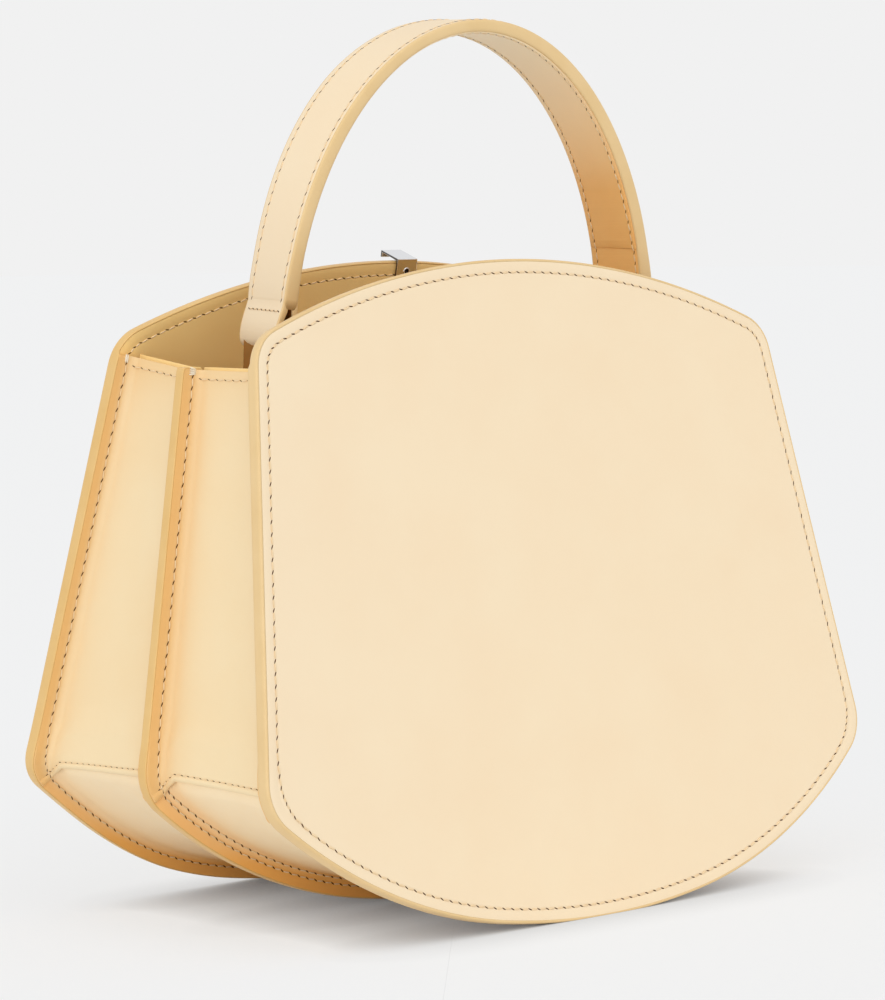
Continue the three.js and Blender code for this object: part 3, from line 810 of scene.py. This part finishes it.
# Stitching
def small_ball(name, around, up, material):
    """Mesh of a unit ball, stretched later into a thread or a needle hole."""
    bm = bmesh.new()
    bmesh.ops.create_uvsphere(bm, u_segments=around, v_segments=up, radius=1.0,
                              matrix=Matrix.Rotation(math.pi / 2, 4, "Y"))
    for face in bm.faces:
        face.smooth = True
        face.material_index = material
    mesh = bpy.data.meshes.new(name)
    bm.to_mesh(mesh)
    bm.free()
    return mesh


thread_shape = small_ball("thread_shape", 8, 6, 0)
hole_shape = small_ball("hole_shape", 8, 4, 1)


def stamp(bm, shape, middle, along, out, size):
    """Adds one small ball at middle, its long way along the seam, stretched to size in millimetres."""
    basis = Matrix((along, out.cross(along).normalized(), out)).transposed().to_4x4()
    one = shape.copy()
    one.transform(Matrix.Translation(middle) @ basis @ Matrix.Diagonal((*(Vector(size) * MM), 1.0)))
    bm.from_mesh(one)
    bpy.data.meshes.remove(one)


def slanted(along, out, tilt):
    return (along * math.cos(tilt) + out.cross(along).normalized() * math.sin(tilt)).normalized()


def stitch_row(name, places, body, turn=None, thick=0.25, hole=0.8):
    """Threads between needle holes. places is a list of (point, along, outward) in metres."""
    bm = bmesh.new()
    for (start, _, out), (end, _, _) in zip(places, places[1:]):
        reach = (end - start).length
        along = slanted((end - start).normalized(), out, THREAD_SLANT)
        stamp(bm, thread_shape, (start + end) / 2 + out * 0.1 * MM, along, out,
              (reach / MM * STITCH_FILL / 2, thick, thick * 0.85))
    # Needle holes: dark marks of painted shade.
    for point, along, out in places:
        stamp(bm, hole_shape, point + out * 0.02 * MM, slanted(along, out, HOLE_SLANT), out,
              (hole, 0.24 * hole, 0.07))
    finish_piece(name, bm, (beige_thread, painted_hole_shade), body, (), turn)


def evenly(start, end, pitch):
    count = max(1, round(abs(end - start) / pitch))
    return [start + (end - start) * k / count for k in range(count + 1)]


def placed(points, outward):
    """Points with their direction of travel and the way out of the surface."""
    places = []
    for k, point in enumerate(points):
        before, after = points[max(k - 1, 0)], points[min(k + 1, len(points) - 1)]
        out = outward(point, k) if callable(outward) else outward
        along = after - before
        along = (along - out * along.dot(out)).normalized()
        places.append((point, along, out))
    return places


PANEL_OUT = (on_panel(0, -1, 0) - on_panel(0, 0, 0)).normalized()


def corner_cut(s):
    """0 along the outline, rising to 1 where a seam cuts a low corner."""
    middle, reach = (BOTTOM_END + SIDE_START) / 2, (SIDE_START - BOTTOM_END) / 2 + 9.0
    return eased(1.0 - abs(abs(s) - middle) / reach)


def rim_row(walks, inset, depth, step):
    """A seam on a panel face, step away from the bottom of its channel where it cuts a corner."""
    row = []
    for s in walks:
        u, v = rim(s, inset + 1.3 * corner_cut(s))
        row.append(on_panel(u, depth + step * min(3.0 * corner_cut(s), 1.0), v))
    return row


def panel_stitches(side):
    face = rim_row(evenly(-HALF_RIM, HALF_RIM, STITCH_PITCH), RIM_STITCH, 0.12, -0.12)
    stitch_row(f"{side}_panel_stitches", placed(face, PANEL_OUT), "bag", TURN[side])
    edge = walk_to(GUSSET_TOP + RISE[side]) + 2.5
    over_top = [s if s <= HALF_RIM else s - 2 * HALF_RIM
                for s in evenly(edge, 2 * HALF_RIM - edge, STITCH_PITCH)]
    inside = rim_row(over_top, RIM_STITCH, PANEL - 0.12, 0.12)
    stitch_row(f"{side}_inside_stitches", placed(inside, -PANEL_OUT), "bag", TURN[side])


def flange_point(side, s, where, inset, lift):
    """Point on the groove face of a flange, on the panel or the divider side of a gusset."""
    past = abs(s) - lap_walk(side, FLANGE_MID_PANEL if where == "panel" else FLANGE_MID_DIVIDER, inset)
    if past > 0:
        lift += lap_lift(past, inset)
    u, v = rim(s, max(inset, corner_inset(s) + 1.6), True)
    if where == "panel":
        return on_panel(u, FLANGE_MID_PANEL + GUSSET / 2 + lift, v)
    return on_divider(u, -HALF_DEPTH + FLANGE_MID_DIVIDER - GUSSET / 2 - lift, v)


def gusset_stitches(side):
    out_of = {"panel": -PANEL_OUT, "divider": Vector((0, -1, 0))}
    for where in ("panel", "divider"):
        end = walk_to(GUSSET_TOP + (RISE[side] if where == "panel" else 0.0)) - 2.5
        points = [flange_point(side, s, where, FLANGE_STITCH + 0.6 * corner_cut(s), 0.1)
                  for s in evenly(-end, end, STITCH_PITCH)]
        stitch_row(f"{side}_flange_stitches_{where}", placed(points, out_of[where]), "bag",
                   TURN[side])
    if side == "front":
        base_second_row()

    def above_lap(y, run):
        return LAP_ROW_UP

    def below_top(y, run):
        return top_walk(side, y) - TOP_ROW_DOWN - lap_walk(side, y, run)

    for node, hand in hands(side):
        web_row(f"{side}_lap_stitches_{node}", side, hand, above_lap, 0.1, 0.9, LAP_ROW_PITCH, 0.24)
        web_row(f"{side}_top_stitches_{node}", side, hand, below_top, 0.22, 0.78, STITCH_PITCH, 0.25)


def base_second_row():
    """Second seam on the front base piece, in the fold beside the ridge."""
    end = FLANGE_LAP_WALK - 1.0
    walks = evenly(-end, end, STITCH_PITCH)
    place = LAST - 6.3
    y, inset, _, out = section_at(place)

    def spot(s, proud):
        return across(s, y + out[0] * proud, inset + out[1] * proud)

    points = [spot(s, GUSSET / 2 + 0.1) for s in walks]
    ways = [(spot(s, 1.0) - spot(s, 0.0)).normalized() for s in walks]
    stitch_row("front_base_second_row", placed(points, lambda _, k: ways[k]), "bag")


def web_frame(side, hand, past_of, place):
    """Point on the outside of a side piece and the way out of it."""
    y, _, run, _ = section_at(place)
    point = side_spot(side, hand, past_of(y, run), place, GUSSET / 2 + 0.05)
    return point, (side_spot(side, hand, past_of(y, run), place, 1.0) - point).normalized()


def web_row(name, side, hand, past_of, first, last, pitch, thick):
    """A row of stitches across a side piece."""
    fine = [LAST * (first + (last - first) * k / 200) for k in range(201)]
    spots = [web_frame(side, hand, past_of, place) for place in fine]
    picks, since = [spots[0]], 0.0
    total = sum((b[0] - a[0]).length for a, b in zip(spots, spots[1:]))
    step = total / max(1, round(total / (pitch * MM)))
    for before, after in zip(spots, spots[1:]):
        since += (after[0] - before[0]).length
        if since >= step * 0.999:
            picks.append(after)
            since -= step
    outs = [out for _, out in picks]
    stitch_row(name, placed([point for point, _ in picks], lambda _, k: outs[k]), "bag",
               TURN[side], thick=thick, hole=0.55)


def bar_tacks():
    """Close loops of pale thread that lock the tops of the flange seams."""
    up = Vector((SIDE_U, 0, SIDE_V * COS)).normalized()
    out = Vector((0, -1, 0))
    for side in ("front", "back"):
        for node, hand in hands(side):
            along = Vector((hand * up.x, 0, up.z))
            bm = bmesh.new()
            for k in range(4):
                middle = flange_point(side, hand * (RIDGE_WALK - 0.3 - 0.55 * k), "divider", 3.6, 0.1)
                stamp(bm, thread_shape, middle, slanted(along.cross(out), out, 0.12 * (k - 1.5)), out,
                      (1.3, 0.3, 0.34))
            for k in range(2):
                top = walk_to(GUSSET_TOP + RISE[side]) - 1.2
                middle = flange_point(side, hand * top, "panel", 3.2 + 0.6 * k, 0.1)
                stamp(bm, thread_shape, middle, along, -PANEL_OUT, (1.3, 0.28, 0.3))
            finish_piece(f"{side}_bar_tack_{node}", bm, (white_thread,), "bag", (),
                         TURN[side])


# Handle
def arch(angle, offset):
    """Point of the strap's curve in X and Z, moved outward by offset."""
    x, z = HANDLE_HALF_SPAN * math.cos(angle), HANDLE_RISE * math.sin(angle)
    nx, nz = math.cos(angle) / HANDLE_HALF_SPAN, math.sin(angle) / HANDLE_RISE
    size = math.hypot(nx, nz)
    return x + offset * nx / size, HANDLE_SPRING_Z + z + offset * nz / size


def angle_at(z):
    return math.asin((z - HANDLE_SPRING_Z) / HANDLE_RISE)


def twisted(x, z, y):
    """Strap point in metres; the left leg is turned a little as it comes down."""
    down = clamped((250.0 - z) / 75.0) if x < 0 else 0.0
    return Vector((x + (0.7 + y * math.tan(HANDLE_TWIST)) * down, y, z)) * MM


HANDLE_TILT = (Matrix.Translation((0, 0, PIVOT_Z * MM)) @ Matrix.Rotation(HANDLE_LEAN, 4, "X")
               @ Matrix.Translation((0, 0, -PIVOT_Z * MM)))
STRAP_FLAT = HANDLE_HALF_WIDTH - 0.75


def strap_loop():
    """Loop of (across, lift) round the strap, lift 1 outside and -1 inside: faces flat, edges domed."""
    loop = []
    for way in (1, -1):
        for k in range(9):
            y = way * STRAP_FLAT * (k / 4 - 1)
            loop.append((y, way * (1.0 + 0.03 * (1 - (y / STRAP_FLAT) ** 2))))
        for k in range(1, 10):
            turn = math.pi / 2 - math.pi * k / 10
            lift = math.copysign(abs(math.sin(turn)) ** 0.6, math.sin(turn))
            loop.append((way * (STRAP_FLAT + 0.75 * math.cos(turn) ** 0.6), way * lift))
    return loop


LOOP = strap_loop()


def strap_half(angle, outside):
    """Half thickness of the strap: slimmer over the top, fuller at the ends."""
    z = arch(angle, 0.0)[1]
    slim = 1.1 * math.exp(-((angle - 1.8) / 0.55) ** 2) if outside else 0.0
    return HANDLE_HALF_THICK - slim + 0.35 * eased((RETURN_Z - z) / 12.0)


def swept_strap(name, count, ring_at, materials, nodes, tuck=0.0):
    """A strap swept through count + 1 rings; ring_at(i, lift) is its X and Z, tuck narrows its ends."""
    size = len(LOOP)
    marks = []

    def where(a, b):
        y, lift = LOOP[round(b * size) % size]
        marks.append((abs(y), lift))
        i = round(a * count)
        return twisted(*ring_at(i, lift), y * (1.0 - tuck * max(4 - i, i - count + 4, 0)))

    bm = grid_sheet(count, size, where)
    bm.verts.index_update()
    for face in bm.faces:
        corners = [marks[vert.index] for vert in face.verts]
        on_edge = max(y for y, _ in corners) > STRAP_FLAT + 0.05
        face.material_index = 1 if on_edge else (0 if corners[0][1] > 0 else 2)
    bmesh.ops.remove_doubles(bm, verts=bm.verts, dist=1e-7)
    caps = bmesh.ops.holes_fill(bm, edges=[e for e in bm.edges if e.is_boundary], sides=0)
    for face in caps["faces"]:
        face.material_index = 1
    return finish_piece(name, bm, materials, "handle", nodes, HANDLE_TILT)


def handle_strap():
    start = angle_at(STRAP_END_Z)
    count = 96

    def ring_at(i, lift):
        angle = start + (math.pi - 2 * start) * i / count
        return arch(angle, lift * strap_half(angle, lift > 0))

    swept_strap("handle_strap", count, ring_at, (panel_leather, edge_paint, strap_lining),
                ("handle_outer", "handle_filler"))


def handle_inner_ply():
    """Inner leather of the strap; its two ends show as a small step."""
    start = angle_at(RETURN_Z)

    def where(a, b):
        x, z = arch(start + (math.pi - 2 * start) * a, -HANDLE_HALF_THICK - 0.16)
        return twisted(x, z, (b - 0.5) * 2 * (STRAP_FLAT - 0.1))

    bm = grid_sheet(80, 6, where)
    piece = finish_piece("handle_inside", bm, (strap_lining, edge_paint), "handle", ("handle_inner",),
                         HANDLE_TILT)
    thicken(piece, 0.4, 0.0, 0)
    soften(piece, 0.16, 2)


def smooth_curve(start, first, second, end, steps):
    """Points of a bezier curve in the plane."""
    guides = (start, first, second, end)
    points = []
    for k in range(steps + 1):
        t = k / steps
        weights = ((1 - t) ** 3, 3 * t * (1 - t) ** 2, 3 * t * t * (1 - t), t ** 3)
        points.append([sum(w * guide[n] for w, guide in zip(weights, guides)) for n in (0, 1)])
    return points


def roll_path():
    """Right rolled end as (x, z, half thickness): off the outer side, round below, up the inner side."""
    middle, low = ROLL_MIDDLE
    top = STRAP_END_Z + 3.2
    x = arch(angle_at(top), 0.0)[0]
    steps = 14
    outer = smooth_curve((x + 1.35, top), (x + 1.9, top - 4.0), (x + 5.3, top - 7.5),
                         (middle + ROLL_REACH, low), steps)
    inner = smooth_curve((middle - ROLL_REACH, low), (middle - 3.45, low + 3.7), (x - 1.4, top - 4.0),
                         (x - 1.35, top), steps)
    path = [(*spot, 1.3 - 0.55 * k / steps) for k, spot in enumerate(outer)]
    for k in range(1, 16):
        turn = -math.pi * k / 16
        path.append((middle + ROLL_REACH * math.cos(turn), low + 2.6 * math.sin(turn), 0.75))
    return path + [(*spot, 0.75 + 0.5 * k / steps) for k, spot in enumerate(inner)]


ROLL = roll_path()


def roll_ring(i, lift, more=0.0):
    """Point of the rolled end, lift 1 on its outside and more millimetres beyond, and the way out."""
    x, z, half = ROLL[i]
    before, after = ROLL[max(i - 1, 0)], ROLL[min(i + 1, len(ROLL) - 1)]
    size = math.dist(before[:2], after[:2])
    nx, nz = (before[1] - after[1]) / size, (after[0] - before[0]) / size
    reach = lift * half + more
    return (x + nx * reach, z + nz * reach), (nx, nz)


def handle_roll(label, hand):
    def ring_at(i, lift):
        x, z = roll_ring(i, lift)[0]
        return hand * x, z

    # The inside faces of the roll take the dark tab leather: painted shade of the loop's hollow.
    swept_strap(f"handle_roll_{label}", len(ROLL) - 1, ring_at, (panel_leather, edge_paint, tab_painted_shade),
                (), 0.008)


def strap_angles():
    """Angles of the arch that are one stitch apart along the strap."""
    start = angle_at(STRAP_END_Z + 2.2)
    fine = [start + (math.pi - 2 * start) * k / 2000 for k in range(2001)]
    run = [0.0]
    for a, b in zip(fine, fine[1:]):
        run.append(run[-1] + math.dist(arch(a, HANDLE_HALF_THICK), arch(b, HANDLE_HALF_THICK)))
    count = round(run[-1] / STITCH_PITCH)
    angles, k = [], 0
    for n in range(count + 1):
        while k < 1999 and run[k + 1] < run[-1] * n / count:
            k += 1
        angles.append(fine[k])
    return angles


def strap_spot(angle, y, sign):
    """Point on the outer or inner face of the strap, and the way out of it."""
    reach = strap_half(angle, sign > 0) + 0.02
    if sign < 0 and arch(angle, 0.0)[1] > RETURN_Z:
        reach = HANDLE_HALF_THICK + 0.38
    x, z = arch(angle, sign * reach)
    far = arch(angle, sign * (reach + 1.0))
    return twisted(x, z, y), Vector((far[0] - x, 0, far[1] - z)).normalized()


def strap_row(name, places):
    stitch_row(name, places, "handle", HANDLE_TILT, thick=0.22, hole=0.68)


def handle_stitches():
    """Seams along both edges of both faces, and one across each rolled end."""
    rows = (("front", -HANDLE_STITCH - 0.4), ("back", HANDLE_STITCH - 0.4))
    angles = strap_angles()
    for face, sign in (("outer", 1.0), ("inner", -1.0)):
        for edge, y in rows:
            spots = [strap_spot(angle, y, sign) for angle in angles]
            strap_row(f"handle_stitches_{face}_{edge}",
                      placed([point for point, _ in spots], lambda _, k: spots[k][1]))
    cross = min(range(14), key=lambda i: abs(roll_ring(i, 1.0)[0][1] - CROSS_STITCH_Z))
    (x, z), (nx, nz) = roll_ring(cross, 1.0, 0.04)
    for label, hand in (("right", 1), ("left", -1)):
        row = [twisted(hand * x, z, y) for y in evenly(rows[0][1], rows[1][1], 2.4)]
        strap_row(f"handle_cross_stitches_{label}", placed(row, Vector((hand * nx, 0, nz))))


def leather_block(name, boxes, body, nodes, place=None):
    """Small leather tab made of a few flat straps, edges softened."""
    bm = bmesh.new()
    for low, high in boxes:
        middle = (Vector(low) + Vector(high)) / 2 * MM
        size = Matrix.Diagonal((*(Vector(high) - Vector(low)) * MM, 1.0))
        bmesh.ops.create_cube(bm, size=1.0, matrix=Matrix.Translation(middle) @ size)
    # The dark tab leather on these blocks is painted shade.
    piece = finish_piece(name, bm, (tab_painted_shade,), body, nodes, place)
    soften(piece, 0.35, 3)


LAID_BACK = Matrix.Rotation(math.pi / 2, 4, "X")
LAID_ASIDE = Matrix.Rotation(math.pi / 2, 4, "Y")


def tab_head(label, hand):
    """Round head of a tab, held in the rolled end; its dark brown is painted shade of the hollow."""
    middle = Vector((hand * ROLL_MIDDLE[0], 0, ROLL_MIDDLE[1])) * MM
    bm = bmesh.new()
    bmesh.ops.create_cone(bm, cap_ends=True, segments=28, radius1=TAB_HEAD * MM, radius2=TAB_HEAD * MM,
                          depth=TAB_HEAD_LENGTH * MM,
                          matrix=HANDLE_TILT @ Matrix.Translation(middle) @ LAID_BACK)
    rims = [e for e in bm.edges if any(len(f.verts) > 4 for f in e.link_faces)]
    round_edges(bm, rims, 0.5 * MM, 3, False)
    smooth_faces(bm)
    finish_piece(f"chape_head_{label}", bm, (tab_painted_shade,), "handle", ())


def chape_pieces(label, hand):
    """Tab in the rolled end, the strap that anchors it to the divider, and their rivets."""
    wide, far = TAB_HALF_WIDTH, ANCHOR_NEAR + TAB_THICK
    x0, x1 = sorted((hand * TAB_INNER, hand * (TAB_INNER + TAB_THICK)))
    leather_block(f"chape_tab_{label}", [((x0, -wide, TAB_LOW_Z), (x1, wide, TAB_TOP_Z))], "handle",
                  (f"chape_{label}",), HANDLE_TILT)
    tab_head(label, hand)
    a0, a1 = sorted((hand * ANCHOR_INNER, hand * ANCHOR_OUTER))
    f0, f1 = sorted((hand * (ANCHOR_INNER - ANCHOR_LEG), hand * ANCHOR_OUTER))
    low, top = ANCHOR_LOW_Z, (GUSSET_TOP - DIVIDER_DIP) * COS - FOOT_FLAT + TAB_GAP
    leather_block(f"anchor_strap_{label}", [
        ((a0, -wide, top), (a1, wide, ANCHOR_TOP_Z)),
        ((a0, -wide, low), (a1, -ANCHOR_NEAR, top)),
        ((a0, ANCHOR_NEAR, low), (a1, wide, top)),
        ((f0, -far, low), (f1, -ANCHOR_NEAR, top - 2.0)),
        ((f0, ANCHOR_NEAR, low), (f1, far, top - 2.0)),
    ], "bag", (f"anchor_{label}",))
    rivet(f"pivot_rivet_cap_{label}", (f"pivot_rivet_{label}",), LAID_ASIDE,
          Vector((hand * (TAB_INNER - TAB_GAP / 2), 0, PIVOT_Z)), TAB_THICK + 1.5 * TAB_GAP)
    rivet(f"anchor_rivet_cap_{label}", (f"anchor_rivet_{label}",), LAID_BACK,
          Vector((hand * (ANCHOR_INNER - ANCHOR_LEG / 2), 0, low + ANCHOR_RIVET_RISE)), far + TAB_GAP)


def rivet(name, nodes, laid, middle, reach):
    """A double-cap rivet, its caps reach millimetres from its middle, laid along X or Y."""
    half = [(radius, reach + rise) for radius, rise in RIVET_CAP] + [(RIVET_SHANK, reach)]
    bm = spun(half + [(radius, -height) for radius, height in reversed(half)], 28, MM, 1e-6)
    finish_piece(name, bm, (rivet_steel,), "bag", nodes,
                 Matrix.Translation(middle * MM) @ laid)


# Clasp
def clasp_plate(inside):
    """Bent plate on the inside of the back panel, rising over its edge to a short lip."""
    inner, front = PANEL + CLASP_GAP, PANEL_HEIGHT + CLASP_GAP
    low, rear = PANEL_HEIGHT - CLASP_DROP, front + CLASP_LIFT
    lip = CLASP_BACK + CLASP_METAL
    profile = [(inner, low), (inside, low), (inside, front + CLASP_METAL), (CLASP_BACK, rear + CLASP_METAL),
               (CLASP_BACK, front), (lip, front), (lip, rear), (inner, front)]
    bm = bmesh.new()
    face = bm.faces.new([bm.verts.new(Vector((-CLASP_HALF_WIDTH, w, v))) for w, v in profile])
    draw_out(bm, [face], (2 * CLASP_HALF_WIDTH, 0, 0))
    round_edges(bm, bm.edges[:], 0.16, 3)
    for face in bm.faces:
        face.smooth = face.calc_area() < 1.0
        # Side faces of the clasp take the near-black metal: painted shade.
        face.material_index = 1 if abs(face.normal.x) > 0.9 else 0
    for vert in bm.verts:
        vert.co = on_panel(vert.co.x + CLASP_SIDE, vert.co.y, vert.co.z)
    finish_piece("clasp_bracket", bm, (chrome, shaded_edge_metal), "bag", ("clasp_saddle",),
                 TURN["back"])


def clasp_screw(inside):
    """Round screw head on the plate, its recess painted near black as painted shade."""
    bm = spun(SCREW_HEAD, 32, 1.0, 1e-5)
    for face in bm.faces:
        face.material_index = 1 if math.hypot(*face.calc_center_median().xy) < SCREW_RECESS else 0
    for vert in bm.verts:
        u, v, lift = vert.co
        vert.co = on_panel(u + CLASP_SIDE, inside + lift, PANEL_HEIGHT - SCREW_DROP + v)
    finish_piece("clasp_screw_head", bm, (chrome, painted_recess_shade), "bag", ("clasp_screw",),
                 TURN["back"])


def clasp_pieces():
    inside = PANEL + CLASP_GAP + CLASP_METAL
    clasp_plate(inside)
    clasp_screw(inside)


for side in ("front", "back"):
    panel_pieces(side)
    gusset_piece(f"{side}_lit_base_leather", 120, lambda a, j: gusset_base_point(side, a, j), side,
                 (f"{side}_gusset_base",), lit_base_leather)
    for node, hand in hands(side):
        gusset_piece(f"{side}_side_leather_{node}", 90, lambda a, j: gusset_side_point(side, hand, a, j),
                     side, (f"{side}_gusset_{node}",))
    lining_strip(side)
    panel_stitches(side)
    gusset_stitches(side)
divider_piece()
bar_tacks()
handle_strap()
handle_inner_ply()
for label, hand in hands("front"):
    handle_roll(label, hand)
    chape_pieces(label, hand)
handle_stitches()
clasp_pieces()
for shape in (thread_shape, hole_shape):
    bpy.data.meshes.remove(shape)


# Floor, light and camera
BACKDROP = tone(241, 241, 241)
PAPER = (0.945, 0.965, 0.985, 1.0)
PAPER_GLOW = 0.75
# Reach and strength of the contact shadow painted on the floor from ambient occlusion.
PAINTED_SHADOW_REACH = 0.024
PAINTED_SHADOW_POWER = 0.6
DAYLIGHT = 0.68
LAMPS = (("key", 0.75, 50, (0.20, 0.50, -0.84)), ("left_fill", 0.56, 30, (0.93, 0.30, -0.20)),
         ("right_fill", 0.10, 30, (-0.55, 0.78, -0.30)))
CAMERA_PLACE = (-789.94, -832.50, 193.70)
CAMERA_YAW = 0.75596
CAMERA_PITCH = -0.06352
CAMERA_ROLL = -0.01196
FOCAL_PIXELS = 3749.06
PICTURE_PIXELS = 1000.0
SENSOR = 36.0


def seen_rays(tree):
    """1 for the rays of the camera, of reflections and of clear things."""
    paths = tree.nodes.new("ShaderNodeLightPath")
    rays = [paths.outputs[f"Is {kind} Ray"] for kind in ("Camera", "Glossy", "Transmission")]
    total = rays[0]
    for ray in rays[1:]:
        either = tree.nodes.new("ShaderNodeMath")
        either.operation = "MAXIMUM"
        tree.links.new(total, either.inputs[0])
        tree.links.new(ray, either.inputs[1])
        total = either.outputs[0]
    return total


def scaled(finish, operation, source, amount):
    """A number worked on by one fixed amount."""
    node = finish.tree.nodes.new("ShaderNodeMath")
    node.operation = operation
    node.inputs[1].default_value = amount
    finish.join(source, node.inputs[0])
    return node.outputs[0]


def floor_paper():
    """White paper that shows the backdrop's tone, with a painted contact shadow from ambient occlusion where
    something stands close to it.
    """
    paper = Finish("floor_paper", PAPER, 0.9)
    paper.shader.inputs["Specular IOR Level"].default_value = 0.0
    painted_shadow = paper.tree.nodes.new("ShaderNodeAmbientOcclusion")
    painted_shadow.samples = 16
    painted_shadow.inputs["Distance"].default_value = PAINTED_SHADOW_REACH
    glow = paper.tree.nodes.new("ShaderNodeEmission")
    glow.inputs["Color"].default_value = BACKDROP
    # The glow is dimmed by ambient occlusion: a painted shadow.
    paper.join(scaled(paper, "POWER", painted_shadow.outputs["AO"], PAINTED_SHADOW_POWER), glow.inputs["Strength"])
    pale = paper.tree.nodes.new("ShaderNodeMixShader")
    paper.join(scaled(paper, "MULTIPLY", seen_rays(paper.tree), PAPER_GLOW), pale.inputs[0])
    paper.join(paper.shader.outputs["BSDF"], pale.inputs[1])
    paper.join(glow.outputs[0], pale.inputs[2])
    paper.join(pale.outputs[0], paper.tree.nodes["Material Output"].inputs["Surface"])
    return paper.material


def studio_floor():
    bm = bmesh.new()
    bmesh.ops.create_grid(bm, x_segments=1, y_segments=1, size=60.0)
    mesh = bpy.data.meshes.new("floor")
    bm.to_mesh(mesh)
    bm.free()
    mesh.materials.append(floor_paper())
    floor = bpy.data.objects.new("floor", mesh)
    bpy.context.scene.collection.objects.link(floor)


def studio_light():
    """Even light from all round, a plain backdrop, and three wide lamps."""
    world = bpy.context.scene.world or bpy.data.worlds.new("studio")
    bpy.context.scene.world = world
    world.use_nodes = True
    tree = world.node_tree
    tree.nodes.clear()
    output = tree.nodes.new("ShaderNodeOutputWorld")
    mix = tree.nodes.new("ShaderNodeMixShader")
    tree.links.new(seen_rays(tree), mix.inputs[0])
    for socket, colour, strength in ((1, (1.0, 1.0, 1.0, 1.0), DAYLIGHT), (2, BACKDROP, 1.0)):
        light = tree.nodes.new("ShaderNodeBackground")
        light.inputs["Color"].default_value = colour
        light.inputs["Strength"].default_value = strength
        tree.links.new(light.outputs[0], mix.inputs[socket])
    tree.links.new(mix.outputs[0], output.inputs["Surface"])
    for name, strength, spread, travel in LAMPS:
        sun = bpy.data.lights.new(name, "SUN")
        sun.energy = strength
        sun.angle = math.radians(spread)
        lamp = bpy.data.objects.new(name, sun)
        bpy.context.scene.collection.objects.link(lamp)
        lamp.rotation_mode = "QUATERNION"
        lamp.rotation_quaternion = Vector(travel).to_track_quat("-Z", "Y")


def camera():
    level = math.cos(CAMERA_PITCH)
    ahead = Vector((math.sin(CAMERA_YAW) * level, math.cos(CAMERA_YAW) * level, math.sin(CAMERA_PITCH)))
    right = Vector((math.cos(CAMERA_YAW), -math.sin(CAMERA_YAW), 0.0))
    up = right.cross(ahead)
    rolled_right = right * math.cos(CAMERA_ROLL) + up * math.sin(CAMERA_ROLL)
    rolled_up = up * math.cos(CAMERA_ROLL) - right * math.sin(CAMERA_ROLL)
    data = bpy.data.cameras.new("camera")
    data.sensor_width = SENSOR
    data.lens = FOCAL_PIXELS / PICTURE_PIXELS * SENSOR
    data.clip_start = 0.05
    data.clip_end = 200.0
    eye = bpy.data.objects.new("camera", data)
    bpy.context.scene.collection.objects.link(eye)
    turn = Matrix((rolled_right, rolled_up, -ahead)).transposed().to_4x4()
    eye.matrix_world = Matrix.Translation(Vector(CAMERA_PLACE) * MM) @ turn
    bpy.context.scene.camera = eye


studio_floor()
studio_light()
camera()
bpy.context.scene.view_settings.view_transform = "Standard"
bpy.context.view_layer.update()
